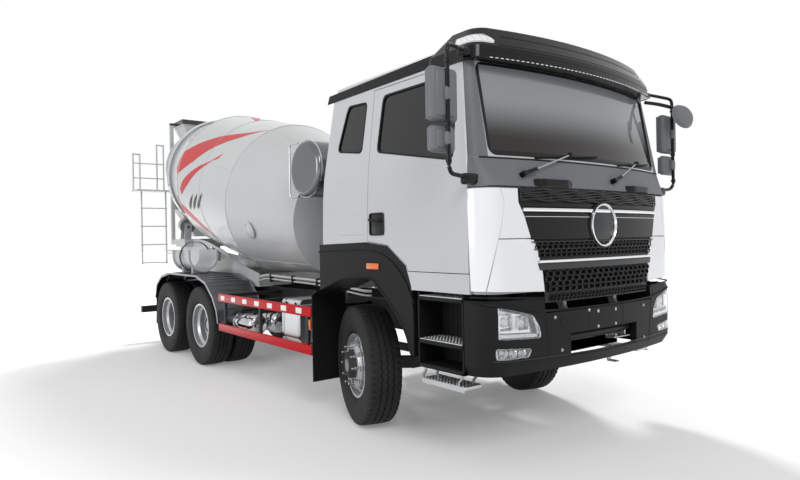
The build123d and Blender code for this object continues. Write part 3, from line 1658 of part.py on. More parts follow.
spare_x = (-4850.0, -4150.0)
spare_y = -1000.0
spare_z = 1480.0
spare_radius = 195.0
spare_side_z = 1685.0
trough_wall = 6.0


def trough_sketch(plane, radius, wall, rise):
    """A U section: a half ring of a radius with straight sides that rise above its middle."""
    with BuildSketch(plane) as section:
        Circle(radius)
        with Locations((0, rise / 2)):
            Rectangle(2 * radius, rise)
        with Locations((0, radius / 2 + rise / 2)):
            Rectangle(2 * radius + 2, radius - rise, mode=Mode.SUBTRACT)
        Circle(radius - wall, mode=Mode.SUBTRACT)
        with Locations((0, rise / 2)):
            Rectangle(2 * (radius - wall), rise + 2, mode=Mode.SUBTRACT)
    return section.sketch


with BuildPart() as spare_chute:
    at = Plane(origin=(ahead(spare_x[0]), spare_y, spare_z), x_dir=(0, 1, 0), z_dir=(1, 0, 0))
    length = spare_x[1] - spare_x[0]
    rise = spare_side_z - spare_z
    extrude(trough_sketch(at, spare_radius, trough_wall, 0.001 + rise * 0.5), amount=length)
    for start in (0.0, length - 26):
        extrude(trough_sketch(at.offset(start), spare_radius + 26, 26 + trough_wall, rise * 0.5), amount=26)
    for x in (spare_x[0] + 150, spare_x[1] - 150):
        low = fender_top_z + seat_gap
        block((ahead(x - 25), ahead(x + 25)), (spare_y - 120, spare_y + 120), (low, spare_z - spare_radius + 45))
    # keep the saddles out of the trough
    with BuildSketch(at) as bore:
        Circle(spare_radius - trough_wall)
    extrude(bore.sketch, amount=length, mode=Mode.SUBTRACT)
write(spare_chute, "spare_chute")

# ---------------------------------------------------------------- chute and its swivel

chute_pivot_z = 1530.0
chute_rest_deg = 15.0
chute_radius = 200.0
chute_sink = 70.0
chute_tail = 230.0
chute_reach = 1150.0
trunnion_radius = 18.0
fork_inner = 222.0
fork_thick = 16.0

with BuildPart() as chute_swivel:
    rod(
        (ahead(swivel_x), 0, swivel_seat_z + seat_gap),
        (ahead(swivel_x), 0, 1195.0),
        55.0,
    )
    block(
        (ahead(swivel_x) - fork_inner - fork_thick, ahead(swivel_x) + fork_inner + fork_thick),
        (-50.0, 50.0),
        (1180.0, 1202.0),
    )
    for side in (-1, 1):
        x = sorted((ahead(swivel_x) + side * fork_inner, ahead(swivel_x) + side * (fork_inner + fork_thick)))
        block(x, (-45.0, 45.0), (1180.0, chute_pivot_z + 45))
    rod(
        (ahead(swivel_x) - 300, 0, chute_pivot_z),
        (ahead(swivel_x) + 300, 0, chute_pivot_z),
        trunnion_radius + running_gap,
        mode=Mode.SUBTRACT,
    )
write(chute_swivel, "chute_swivel")

slope = radians(chute_rest_deg)
with BuildPart() as main_chute:
    # the trough runs to the truck's left and down; its section's X is the truck's -X
    run = Vector(0, cos(slope), -sin(slope))
    up = Vector(0, sin(slope), cos(slope))
    pivot = Vector(ahead(swivel_x), 0, chute_pivot_z)
    tail = pivot + up * chute_sink - run * chute_tail
    at = Plane(origin=tail, x_dir=(-1, 0, 0), z_dir=run)
    extrude(trough_sketch(at, chute_radius, trough_wall, 1.0), amount=chute_tail + chute_reach)
    extrude(trough_sketch(at, chute_radius + 16, 16 + trough_wall, 1.0), amount=24)
    end = at.offset(chute_tail + chute_reach - 24)
    extrude(trough_sketch(end, chute_radius + 16, 16 + trough_wall, 1.0), amount=24)
    for side in (-1, 1):
        x = ahead(swivel_x)
        rod(
            (x + side * 184, 0, chute_pivot_z),
            (x + side * (fork_inner + fork_thick + 12), 0, chute_pivot_z),
            trunnion_radius,
        )
write(main_chute, "main_chute")
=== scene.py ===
# %% [markdown]
# # A concrete mixer truck, dressed
# The solid model already gives the true shape and size of every part. Here each part gets the
# surface that the real one has, and the thin or fine things that a solid model leaves out are
# made as surfaces: tread, mesh, lamps, wipers, seats. Read the cells from top to bottom: each
# one explains what the real thing is before it makes it.

import json
import math
from functools import partial

import bmesh
import bpy
import numpy as np
from mathutils import Matrix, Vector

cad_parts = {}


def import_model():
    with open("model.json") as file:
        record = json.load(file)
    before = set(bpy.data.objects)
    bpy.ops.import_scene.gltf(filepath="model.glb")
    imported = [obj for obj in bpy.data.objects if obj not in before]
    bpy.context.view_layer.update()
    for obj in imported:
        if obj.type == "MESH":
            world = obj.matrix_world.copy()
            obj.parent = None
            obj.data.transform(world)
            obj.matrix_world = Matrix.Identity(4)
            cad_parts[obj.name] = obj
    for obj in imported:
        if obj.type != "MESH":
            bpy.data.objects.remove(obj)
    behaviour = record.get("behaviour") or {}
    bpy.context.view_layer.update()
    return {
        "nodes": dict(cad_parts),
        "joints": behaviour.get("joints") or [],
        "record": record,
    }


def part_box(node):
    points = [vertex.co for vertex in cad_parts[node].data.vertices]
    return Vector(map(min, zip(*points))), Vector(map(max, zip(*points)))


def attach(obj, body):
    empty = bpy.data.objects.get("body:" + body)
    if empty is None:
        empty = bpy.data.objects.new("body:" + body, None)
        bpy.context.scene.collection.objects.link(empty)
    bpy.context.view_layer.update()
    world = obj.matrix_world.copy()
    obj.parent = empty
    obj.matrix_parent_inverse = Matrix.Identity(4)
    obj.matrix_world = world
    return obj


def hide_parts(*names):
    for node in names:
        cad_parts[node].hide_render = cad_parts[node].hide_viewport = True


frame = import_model()
joints = {joint["name"]: joint for joint in frame["joints"]}

# %% [markdown]
# ## Places
# A truck is measured from its front axle. So every shape below is worked out in millimetres,
# with X counted forward from the front axle, Y to the truck's left and Z up from the ground.
# One function turns such points into the frame's metres when a piece is put in the scene.

# %% Millimetres ahead of the front axle
front_axle_x = joints["steer_right"]["pos_m"][0]


def metres(points):
    """Millimetres from the front axle become metres in the frame: divide by 1000, shift X."""
    return np.asarray(points, float) / 1000.0 + np.array([front_axle_x, 0.0, 0.0])


def from_metres(points):
    """The way back: a place in the frame becomes millimetres from the front axle."""
    return (np.asarray(points, float) - np.array([front_axle_x, 0.0, 0.0])) * 1000.0


# %% [markdown]
# ## Surfaces from arrays
# A surface is a grid of points with a square between each four neighbours. Blender could
# also make these with its own primitives, but arrays keep every shape exact and quick, and a
# closed, evenly cut grid shades well. A shape here is a pair: its points, and a list of face
# arrays.


# %% Squares between the points of a grid
def grid_faces(rows, columns, round_rows=False, round_columns=False):
    """Point (i, j) joins (i, j+1), (i+1, j+1) and (i+1, j); a round side meets its start."""
    i = np.arange(rows if round_rows else rows - 1)
    j = np.arange(columns if round_columns else columns - 1)
    i, j = [a.ravel() for a in np.meshgrid(i, j, indexing="ij")]
    i_next, j_next = (i + 1) % rows, (j + 1) % columns
    return np.stack(
        [i * columns + j, i * columns + j_next, i_next * columns + j_next, i_next * columns + j], 1
    )


def merge(*shapes):
    """Several shapes as one: the points follow each other and the faces are counted on."""
    points, faces, count = [], [], 0
    for shape_points, shape_faces in shapes:
        points.append(np.asarray(shape_points, float))
        faces += [face + count for face in shape_faces]
        count += len(shape_points)
    return np.concatenate(points), faces


def copies(shape, shifts):
    """The shape once at each shift, a row of X, Y, Z."""
    points, faces = shape
    shifts = np.atleast_2d(np.asarray(shifts, float))
    moved = (points[None] + shifts[:, None]).reshape(-1, 3)
    step = len(points) * np.arange(len(shifts))[:, None, None]
    return moved, [(face[None] + step).reshape(-1, face.shape[1]) for face in faces]


def mirrored(shape):
    """Y changes its sign, and every face is listed backwards so that it still looks out."""
    points, faces = shape
    return points * [1, -1, 1], [face[:, ::-1] for face in faces]


def other_side(shape):
    """The shape and its mirror image across the truck's middle."""
    return merge(shape, mirrored(shape))


def between(start, stop, count):
    """Even steps from one line of values to another: start * (1 - t) + stop * t."""
    t = np.linspace(0, 1, count)
    return np.asarray(start, float)[:, None] * (1 - t) + np.asarray(stop, float)[:, None] * t


# %% [markdown]
# ## Putting a piece in the scene
# Every piece rides on one body of the truck, takes its finish from one slot, and may stand in for a solid.
# Where a bevel is given, it breaks the piece's edges, because no real edge is perfectly sharp and the
# highlight along it is what the eye reads as an edge.

# %% Make a mesh, finish it and fix it to a body
SAME_POINT_M = 2e-5  # points closer than this become one
NO_LENGTH_M = 1e-6  # edges shorter than this go
BEVEL_ABOVE = math.radians(40)


def put(name, shape, material, body, bevel=0.0, sharp=38.0, replaces=()):
    """Points in millimetres become a closed mesh with outward faces, smooth up to an angle."""
    points, faces = shape
    mesh = bpy.data.meshes.new(name)
    mesh.from_pydata(metres(points).tolist(), [], [f for face in faces for f in face.tolist()])
    work = bmesh.new()
    work.from_mesh(mesh)
    bmesh.ops.remove_doubles(work, verts=work.verts, dist=SAME_POINT_M)
    bmesh.ops.dissolve_degenerate(work, edges=work.edges, dist=NO_LENGTH_M)
    bmesh.ops.recalc_face_normals(work, faces=work.faces)
    work.to_mesh(mesh)
    work.free()
    mesh.materials.append(material)
    mesh.polygons.foreach_set("use_smooth", np.ones(len(mesh.polygons), bool))
    mesh.set_sharp_from_angle(angle=math.radians(sharp))
    piece = bpy.data.objects.new(name, mesh)
    bpy.context.scene.collection.objects.link(piece)
    if bevel:
        edge = piece.modifiers.new("edge", "BEVEL")
        edge.width = bevel / 1000.0
        edge.segments = 2
        edge.limit_method = "ANGLE"
        edge.angle_limit = BEVEL_ABOVE
        edge.harden_normals = False
    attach(piece, body)
    if replaces:
        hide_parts(*replaces)
    print(f"{name}: {len(mesh.polygons)} faces on {body}")
    return piece


# %% [markdown]
# ## A few ways to make a surface
# Nearly everything on a truck is bent, turned, extruded or pressed. So a handful of
# functions is enough: a box with rounded edges, a tube along a path, a turned form, and a
# bent sheet that follows a curved surface.


# %% Rounded boxes
def rounded_box(low, high, radius, steps=4):
    """A ball's eight eighths, each moved out to its own corner of the box."""
    half = (high - low) / 2
    radius = min(radius, half.min() * 0.999)
    quarter = np.linspace(0, math.pi / 2, steps)
    around = np.concatenate([quarter + k * math.pi / 2 for k in range(4)])
    x_sign = np.repeat([1, -1, -1, 1], steps)
    y_sign = np.repeat([1, 1, -1, -1], steps)
    up = np.concatenate([quarter - math.pi / 2, quarter])
    z_sign = np.repeat([-1, 1], steps)
    core = half - radius
    flat = np.cos(up)[:, None] * radius
    points = np.stack(
        [
            np.cos(around)[None] * flat + x_sign * core[0],
            np.sin(around)[None] * flat + y_sign * core[1],
            np.broadcast_to((np.sin(up) * radius + z_sign * core[2])[:, None], (2 * steps, 4 * steps)),
        ],
        -1,
    ).reshape(-1, 3) + (low + high) / 2
    columns = 4 * steps
    ends = np.arange(columns)
    caps = [ends[None, ::-1], ends[None] + (2 * steps - 1) * columns]
    return points, [grid_faces(2 * steps, columns, round_columns=True)] + caps


# %% Tubes and sections along a path
def swept(path, section, up=(0, 0, 1), closed=False):
    """A flat section (side, up) carried along a path, square to its run at each point."""
    path = np.asarray(path, float)
    section = np.asarray(section, float)
    if closed:
        run = np.roll(path, -1, 0) - np.roll(path, 1, 0)
    else:
        run = np.gradient(path, axis=0)
    run /= np.linalg.norm(run, axis=1, keepdims=True)
    side = np.cross(np.asarray(up, float), run)
    side /= np.linalg.norm(side, axis=1, keepdims=True)
    rise = np.cross(run, side)
    if section.ndim == 2:
        section = np.broadcast_to(section, (len(path),) + section.shape)
    points = path[:, None] + side[:, None] * section[..., :1] + rise[:, None] * section[..., 1:]
    rows, columns = points.shape[:2]
    faces = [grid_faces(rows, columns, round_rows=closed, round_columns=True)]
    if not closed:
        ends = np.arange(columns)
        faces += [ends[None, ::-1], ends[None] + (rows - 1) * columns]
    return points.reshape(-1, 3), faces


def circle(radius, sides=12):
    """Points evenly round a circle: (r cos a, r sin a)."""
    a = np.arange(sides) * 2 * math.pi / sides
    return np.stack([radius * np.cos(a), radius * np.sin(a)], 1)


def rounded_path(corners, radius, steps=5):
    """Straight runs whose corners are cut by a smooth quarter bend of about the radius."""
    corners = np.asarray(corners, float)
    bends = [corners[:1]]
    t = np.linspace(0, 1, steps)[:, None]
    for before, corner, after in zip(corners[:-2], corners[1:-1], corners[2:]):
        into, out = before - corner, after - corner
        near = min(radius, np.linalg.norm(into) * 0.49, np.linalg.norm(out) * 0.49)
        start = corner + into / np.linalg.norm(into) * near
        stop = corner + out / np.linalg.norm(out) * near
        bends.append((1 - t) ** 2 * start + 2 * t * (1 - t) * corner + t**2 * stop)
    return np.concatenate(bends + [corners[-1:]])


def tube(corners, radius, bend=60.0, sides=12, up=(0.13, 0.21, 0.97)):
    """A round bar bent along corners."""
    path = rounded_path(corners, bend) if len(corners) > 2 else np.asarray(corners, float)
    return swept(path, circle(radius, sides), up)


# %% Turned forms and bent sheets
def turned(profile, centre, axis, sides=32):
    """A closed profile of (along, radius) spun about an axis; ends at radius 0 close it."""
    profile = np.asarray(profile, float)
    axis = np.asarray(axis, float) / np.linalg.norm(axis)
    helper = np.array([0, 0, 1.0]) if abs(axis[2]) < 0.9 else np.array([0, 1.0, 0])
    across = np.cross(helper, axis)
    across /= np.linalg.norm(across)
    third = np.cross(axis, across)
    a = np.arange(sides) * 2 * math.pi / sides
    ring = np.cos(a)[:, None] * across + np.sin(a)[:, None] * third
    points = centre + profile[None, :, :1] * axis + profile[None, :, 1:] * ring[:, None]
    open_ends = profile[0, 1] < 1e-6 and profile[-1, 1] < 1e-6
    faces = grid_faces(sides, len(profile), round_rows=True, round_columns=not open_ends)
    return points.reshape(-1, 3), [faces]


def shell(front, depth):
    """A grid of points with a second grid behind it, closed round the edge: a bent sheet."""
    front = np.asarray(front, float)
    back = front + np.asarray(depth, float)
    rows, columns = front.shape[:2]
    faces = grid_faces(rows, columns)
    count = rows * columns
    index = np.arange(count).reshape(rows, columns)
    edge = np.concatenate([index[0, :-1], index[:-1, -1], index[-1, :0:-1], index[:0:-1, 0]])
    ahead = np.roll(edge, -1)
    rim = np.stack([edge, ahead, ahead + count, edge + count], 1)
    return np.concatenate([front.reshape(-1, 3), back.reshape(-1, 3)]), [faces, faces[:, ::-1] + count, rim]


def block(x, y, z, radius=4.0, steps=2):
    """A block between three ranges with softly rounded edges."""
    low, high = np.array([x, y, z], float).T
    return rounded_box(low, high, radius, steps)


# %% [markdown]
# ## Finishes
# A finish is what the real material is and how its surface was made: sprayed enamel, moulded
# plastic, cast iron, rolled aluminium. All of them share one shader, and differ in colour,
# roughness, metal or not, and in a pattern whose size is given in millimetres. Blender also
# has image textures, but a pattern that is worked out has no edge and no resolution.


# %% Colours and nodes
def linear(code):
    """An sRGB hex colour becomes linear light: ((c + 0.055) / 1.055) ** 2.4 above 0.04045."""
    channels = [int(code[i : i + 2], 16) / 255 for i in (1, 3, 5)]
    bent = [c / 12.92 if c <= 0.04045 else ((c + 0.055) / 1.055) ** 2.4 for c in channels]
    return (*bent, 1.0)


def node(tree, kind, props=None, **inputs):
    """Adds a node: a socket is named, or counted as i0, i1; a value sets it, an output links."""
    made = tree.nodes.new(kind)
    for key, value in (props or {}).items():
        setattr(made, key, value)
    for key, value in inputs.items():
        counted = key[0] == "i" and key[1:].isdigit()
        socket = made.inputs[int(key[1:])] if counted else made.inputs[key.replace("_", " ")]
        if isinstance(value, bpy.types.NodeSocket):
            tree.links.new(value, socket)
        else:
            socket.default_value = value
    return made


def blended(tree, factor, first, second):
    """A colour between two colours."""
    made = node(tree, "ShaderNodeMix", {"data_type": "RGBA"}, i0=factor, i6=first, i7=second)
    return made.outputs[2]


def new_material(name):
    """An empty node material and its tree."""
    material = bpy.data.materials.new(name)
    material.use_nodes = True
    material.node_tree.nodes.clear()
    return material, material.node_tree


# %% One function for every finish
# pattern: which texture makes the fine relief; it is drawn size_mm apart and depth_mm deep
PATTERNS = {
    "peel": ("ShaderNodeTexNoise", dict(Detail=2.0, Roughness=0.4)),
    "sand": ("ShaderNodeTexNoise", dict(Detail=6.0, Roughness=0.65)),
    "grain": ("ShaderNodeTexVoronoi", dict(Randomness=1.0)),
}
TONE_MM = 400.0  # the tone drifts over about this distance
DUST_COLOUR = "#8d8a84"
DUST_FULL_M, DUST_GONE_M = 0.25, 1.3  # dust is thick below the first height, thin above the second


def finish(name, colour, rough, metallic=0.0, coat=0.0, pattern="sand", size_mm=3.0, depth_mm=0.05,
           stretch=(1, 1, 1), tone=0.08, dust=0.0, shine=0.5, paint=None, **extra):
    """A shader with a slow drift of tone, a fine relief, and dust that settles low down."""
    material, tree = new_material(name)
    place = node(tree, "ShaderNodeTexCoord").outputs["Object"]
    drift = node(tree, "ShaderNodeTexNoise", Vector=place, Scale=1000.0 / TONE_MM, Detail=3.0)
    base = linear(colour)
    darker = tuple(c * (1 - tone) for c in base[:3]) + (1.0,)
    lighter = tuple(min(c * (1 + tone), 1.0) for c in base[:3]) + (1.0,)
    skin = blended(tree, drift.outputs[0], darker, lighter)
    if paint:
        skin = paint(tree, place, skin)
    if dust:
        height = node(tree, "ShaderNodeSeparateXYZ", i0=place).outputs[2]
        low = node(tree, "ShaderNodeMapRange", i0=height, i1=DUST_FULL_M, i2=DUST_GONE_M,
                   i3=dust, i4=dust * 0.15)
        patchy = node(tree, "ShaderNodeTexNoise", Vector=place, Scale=6.0, Detail=5.0)
        amount = node(tree, "ShaderNodeMath", {"operation": "MULTIPLY"},
                      i0=low.outputs[0], i1=patchy.outputs[0])
        skin = blended(tree, amount.outputs[0], skin, linear(DUST_COLOUR))
    spread = node(tree, "ShaderNodeMapping", i0=place, Scale=stretch).outputs[0]
    kind, settings = PATTERNS[pattern]
    relief = node(tree, kind, Vector=spread, Scale=1000.0 / size_mm, **settings)
    bump = node(tree, "ShaderNodeBump", Height=relief.outputs[0], Strength=1.0, Distance=depth_mm / 1000.0)
    shader = node(
        tree, "ShaderNodeBsdfPrincipled", Base_Color=skin, Roughness=rough, Metallic=metallic,
        Coat_Weight=coat, Coat_Roughness=0.06, Specular_IOR_Level=shine, Normal=bump.outputs[0], **extra,
    )
    node(tree, "ShaderNodeOutputMaterial", Surface=shader.outputs[0])
    return material


# %% [markdown]
# ### Paint
# Sprayed enamel has a clear gloss over its colour, and a faint orange-peel waviness a few
# millimetres across that softens what it mirrors. It could be one plain colour, but then a
# large panel looks like paper. Paint that is meant to be tough has less gloss and more grit.

# %% Painted sheet, cast iron and wheels
enamel = partial(finish, pattern="peel", size_mm=14, depth_mm=0.03)
# cab sheet: the panels' white enamel, greyed as painted shade, because the cab's sides take less light than
# its front; soft wide highlights
cab_enamel_painted_shade = enamel("white_enamel_cab_painted_shade", "#b9bbbe", 0.30, coat=0.5, tone=0.03)
# moulded panels in white enamel, the brightest and smoothest surface of the truck
white_enamel = enamel("white_enamel_panels", "#e9eaec", 0.26, coat=0.6, tone=0.02)
# drum and body frame: a thicker coat with dust low down
pale_enamel = enamel("body_enamel_pale_grey", "#bcbebf", 0.34, coat=0.35, depth_mm=0.04, tone=0.05, dust=0.08)
# guard rails: signal red, kept deep by a weak gloss
guard_red = enamel("guard_enamel_red", "#b8000f", 0.34, coat=0.04, size_mm=12, tone=0.05, shine=0.2)
# wheel discs: silver lacquer with metal flake, between paint and metal
wheel_silver = enamel("wheel_enamel_silver", "#b4b6b8", 0.30, metallic=0.55, coat=0.3, size_mm=9)
# chutes: rolled-on paint, scoured and grey with cement
trough_paint = finish("chute_paint_grey", "#b2b4b6", 0.40, coat=0.2, size_mm=20, depth_mm=0.25, tone=0.12,
                      dust=0.2)
# frame: black chassis paint, nearly dull
frame_black = finish("chassis_paint_black", "#111112", 0.50, coat=0.05, size_mm=9, depth_mm=0.12,
                     dust=0.12, shine=0.25)
# axles and engine: cast iron keeps the roughness of its sand mould
cast_black = finish("painted_cast_iron", "#141415", 0.58, size_mm=5, depth_mm=0.30, dust=0.14, shine=0.25)

# %% [markdown]
# ### Plastic and rubber
# Moulded polypropylene is dull, because its mould was etched with a fine grain. The grain is
# really 0.5 mm, too fine to see, so it is drawn 6 mm apart. Polished moulds give gloss.

# %% Plastic and rubber
moulded = partial(finish, pattern="grain", size_mm=6)
glossy = partial(finish, pattern="peel", depth_mm=0.03)
# bumper, arches, steps: grained charcoal, even and dull
grained = moulded("moulded_polypropylene_charcoal", "#101113", 0.50, depth_mm=0.10, dust=0.03, shine=0.16)
# cowl and mirror shells: grained grey
cowl_grey = moulded("moulded_asa_grey", "#6b6d71", 0.48, depth_mm=0.08, tone=0.05, shine=0.25)
mirror_shell = moulded("moulded_asa_mirror_grey", "#6a6c6f", 0.42, size_mm=5, depth_mm=0.06, shine=0.3)
# dashboard skin, seen through the glass
dash_plastic = moulded("moulded_pvc_dashboard", "#2a2b2e", 0.55, size_mm=5, depth_mm=0.10)
# visor and grille band: polished black, a clear dark mirror
gloss_black = glossy("abs_gloss_black", "#070708", 0.20, coat=0.05, size_mm=22, depth_mm=0.05, tone=0.2,
                     shine=0.22)
# honeycomb and louvres: half gloss, so that their edges catch the light
mesh_black = glossy("abs_mesh_black", "#161719", 0.38, size_mm=8, depth_mm=0.04, shine=0.3)
band_grey = glossy("satin_painted_band_grey", "#292b2d", 0.33, coat=0.08, size_mm=10, shine=0.3)
# black enamel printed on the glass
frit_black = glossy("enamel_frit_black", "#101112", 0.35, size_mm=9, depth_mm=0.02, shine=0.25)
# tyres: soot-black rubber with dust in its skin; seals and handles: the same without dust
tyre_rubber = finish("tyre_rubber", "#131314", 0.66, size_mm=7, depth_mm=0.12, tone=0.15, dust=0.07,
                     shine=0.25)
black_rubber = finish("moulded_rubber_black", "#101011", 0.62, size_mm=5, depth_mm=0.08, shine=0.25)
# the inside of a joint or a recess, where no light gets in
bore_dark = finish("unlit_recess_black", "#060606", 0.80, size_mm=9)

# %% [markdown]
# ### Bare metal
# Rolled and polished metal is brushed one way, so its relief is stretched along X or Y and a
# highlight spreads across it. Plated metal has no direction.

# %% Bare metal
metal = partial(finish, metallic=1.0)
# trim, lamp cups and mirror glass: chromium over plastic, almost a mirror
chrome = metal("chromed_abs", "#d9dadb", 0.10, pattern="peel", size_mm=30, depth_mm=0.02, tone=0.03)
# tanks: rolled sheet, a soft sheen; treads: the same metal, pressed and scuffed
aluminium = metal("rolled_aluminium", "#c9cbcc", 0.28, depth_mm=0.03, stretch=(0.06, 1, 1))
tread_metal = finish("pressed_aluminium_tread", "#c2c4c5", 0.36, metallic=0.9, size_mm=4, depth_mm=0.10)
# air tanks, straps and rims' edges: polished stainless steel
polished = metal("polished_stainless_steel", "#b9bbbd", 0.14, depth_mm=0.02, stretch=(0.05, 1, 1))
# fenders: polished steel, its colour darkened as painted reflection of the dark things round it
fender_steel_painted_reflection = metal("polished_steel_fender_painted_reflection", "#7d7f82", 0.20, depth_mm=0.02, stretch=(1, 0.05, 1))
# water tank: polished steel, its colour darkened as painted reflection of the dark things that stand round it
tank_steel_painted_reflection = metal("polished_steel_tank_painted_reflection", "#6c6e71", 0.20, size_mm=4, depth_mm=0.02,
                    stretch=(1, 0.05, 1))
# bolts and pins: grey, a little cloudy
zinc = metal("zinc_plated_steel", "#a9abac", 0.32, size_mm=5)

# %% [markdown]
# ### Lenses and films
# A lamp's lens is clear acrylic dyed in its mass, with small prisms inside that scatter the
# light. From outside it reads as a glossy colour with a sparkle, which a shiny grain gives.

# %% Lenses and films
lens = partial(finish, rough=0.18, coat=0.6, pattern="grain", size_mm=9, depth_mm=0.25, tone=0.05)
amber = lens("amber_acrylic_lens", "#e0620a")
red_lens = lens("red_acrylic_lens", "#a00c10")
white_lens = lens("white_acrylic_lens", "#e4e6e8", rough=0.15, size_mm=8)
# reflective film has glass beads in it and looks white and a little grainy
reflector_white = finish("reflective_film_white", "#e3e2de", 0.25, coat=0.4, pattern="grain", size_mm=5,
                         depth_mm=0.10)

# %% [markdown]
# ### Glass
# Cab glass is tinted in its mass. From outside in daylight the side panes look almost black, because the cab
# behind them is dark, and the windscreen mirrors the sky at its top and the dark road at its foot. A pane
# that only let light through would look empty here, so part of this look is painted into its colour: a
# painted reflection of sky and road on the windscreen, and painted shade of the dark cab on the side and rear
# panes; the rest is let through.

# %% Glass
SCREEN_ONLY_X = front_axle_x + 1.25  # the side and rear panes lie behind this X, in metres
# the near-black painted shade of the side and rear panes
PANE_PAINTED_SHADE = "#0b0c0d"


def glass(name, top, bottom, low, high, through):
    """Glass whose painted reflection runs from one colour at a low Z to another at a high one; behind the
    screen the panes take a painted shade.
    """
    material, tree = new_material(name)
    place = node(tree, "ShaderNodeTexCoord").outputs["Object"]
    x, _, z = node(tree, "ShaderNodeSeparateXYZ", i0=place).outputs
    rise = node(tree, "ShaderNodeMapRange", {"interpolation_type": "SMOOTHSTEP"}, i0=z, i1=low, i2=high)
    painted_reflection_and_shade = blended(tree, rise.outputs[0], linear(bottom), linear(top))
    # the side and rear panes are dark all over: painted shade of the dark cab behind them
    front = node(tree, "ShaderNodeMath", {"operation": "GREATER_THAN"}, i0=x, i1=SCREEN_ONLY_X)
    painted_reflection_and_shade = blended(tree, front.outputs[0], linear(PANE_PAINTED_SHADE), painted_reflection_and_shade)
    shader = node(
        tree, "ShaderNodeBsdfPrincipled", Base_Color=painted_reflection_and_shade, Roughness=0.05, IOR=1.5,
        Transmission_Weight=through, Coat_Weight=0.1, Coat_Roughness=0.02, Specular_IOR_Level=0.35,
    )
    node(tree, "ShaderNodeOutputMaterial", Surface=shader.outputs[0])
    return material


# the screen's painted reflection goes from the road's brown black at its foot to sky grey; heights in metres
cab_glass = glass("laminated_glass_painted_reflection_and_shade", "#8f9497", "#1d1311", low=2.38, high=2.72, through=0.12)
# the door panes: painted shade of the dark cab behind them, nearly black all over
side_glass = glass("toughened_glass_painted_shade", "#0d0e0f", PANE_PAINTED_SHADE, low=2.2, high=2.9, through=0.30)

# lamp covers: clear moulded polycarbonate, nearly all the light goes through
clear_lens, tree = new_material("clear_polycarbonate")
shader = node(
    tree, "ShaderNodeBsdfPrincipled", Base_Color=linear("#f4f6f7"), Roughness=0.04, IOR=1.45,
    Transmission_Weight=0.95,
)
node(tree, "ShaderNodeOutputMaterial", Surface=shader.outputs[0])

# %% [markdown]
# ## Light, floor and camera
# A studio for a large white truck: one broad soft light high in front, a weaker one behind,
# and an even white room. The floor and the room are white where the camera, a mirror or a
# window sees them, and the floor still takes the truck's shadow.

# %% World and floor
ROOM_LIGHT = 0.56  # how brightly the room lights the truck; where it is seen it is 1, white
FLOOR_NEAR_M, FLOOR_FAR_M = 5.5, 13.0
NEAR_GLOW, FAR_GLOW = 0.18, 0.80
FLOOR_HALF_M = 120.0
world = bpy.data.worlds.new("studio")
bpy.context.scene.world = world
world.use_nodes = True
room = world.node_tree
room.nodes.clear()


def seen_directly(tree):
    """1 for rays from the camera, a reflection or through glass, else 0."""
    rays = node(tree, "ShaderNodeLightPath").outputs
    seen = rays["Is Camera Ray"]
    for kind in ("Is Glossy Ray", "Is Transmission Ray"):
        seen = node(tree, "ShaderNodeMath", {"operation": "MAXIMUM"}, i0=seen, i1=rays[kind]).outputs[0]
    return seen


strength = node(room, "ShaderNodeMapRange", i0=seen_directly(room), i3=ROOM_LIGHT, i4=1.0)
sky = node(room, "ShaderNodeBackground", Color=(1, 1, 1, 1), Strength=strength.outputs[0])
node(room, "ShaderNodeOutputWorld", Surface=sky.outputs[0])

floor_material, tree = new_material("studio_floor_white")
matt = node(tree, "ShaderNodeBsdfDiffuse", Color=linear("#e2e2e3"))
# the floor glows a little where it is seen, and more with distance, so that it has no horizon
floor_place = node(tree, "ShaderNodeTexCoord").outputs["Object"]
far_off = node(tree, "ShaderNodeVectorMath", {"operation": "LENGTH"}, i0=floor_place)
amount = node(tree, "ShaderNodeMapRange", {"interpolation_type": "SMOOTHSTEP"},
              i0=far_off.outputs["Value"], i1=FLOOR_NEAR_M, i2=FLOOR_FAR_M, i3=NEAR_GLOW, i4=FAR_GLOW)
lift = node(tree, "ShaderNodeMath", {"operation": "MULTIPLY"}, i0=seen_directly(tree), i1=amount.outputs[0])
glow = node(tree, "ShaderNodeEmission", Color=(1, 1, 1, 1), Strength=lift.outputs[0])
both = node(tree, "ShaderNodeAddShader", i0=matt.outputs[0], i1=glow.outputs[0])
node(tree, "ShaderNodeOutputMaterial", Surface=both.outputs[0])

floor_mesh = bpy.data.meshes.new("studio_floor")
floor_corners = [(FLOOR_HALF_M * x, FLOOR_HALF_M * y, 0) for x, y in ((-1, -1), (1, -1), (1, 1), (-1, 1))]
floor_mesh.from_pydata(floor_corners, [], [(0, 1, 2, 3)])
floor_mesh.materials.append(floor_material)
floor = bpy.data.objects.new("studio_floor", floor_mesh)
bpy.context.scene.collection.objects.link(floor)


# %% Lights
def stand(right, up, back, place):
    """A placing matrix: its columns say where the thing's own X, Y and Z point, and where it is."""
    columns = np.eye(4)
    columns[:3] = np.stack([right, up, back, place], 1)
    return Matrix(columns.tolist())


def soft_light(name, place, target, size, power):
    """A square lamp of a size in metres, turned to face a target."""
    lamp = bpy.data.lights.new(name, "AREA")
    lamp.energy = power
    lamp.size = size
    light = bpy.data.objects.new(name, lamp)
    place, target = np.array(place, float), np.array(target, float)
    back = (place - target) / np.linalg.norm(place - target)
    side = np.cross((0, 0, 1), back)
    side /= np.linalg.norm(side)
    light.matrix_world = stand(side, np.cross(back, side), back, place)
    bpy.context.scene.collection.objects.link(light)
    return light


soft_light("key_in_front", (16.0, -7.0, 12.0), (1.5, 0, 1.5), 6.0, 1000.0)
back_light = soft_light("back_left", (-12.0, 8.5, 14.0), (0, 0, 1.0), 3.5, 3600.0)
# it lights the floor and the roofs, but would glare in the enamel along the drum's top
back_light.visible_glossy = False
soft_light("right_fill", (1.0, -15.0, 5.0), (0, 0, 1.8), 7.0, 560.0)

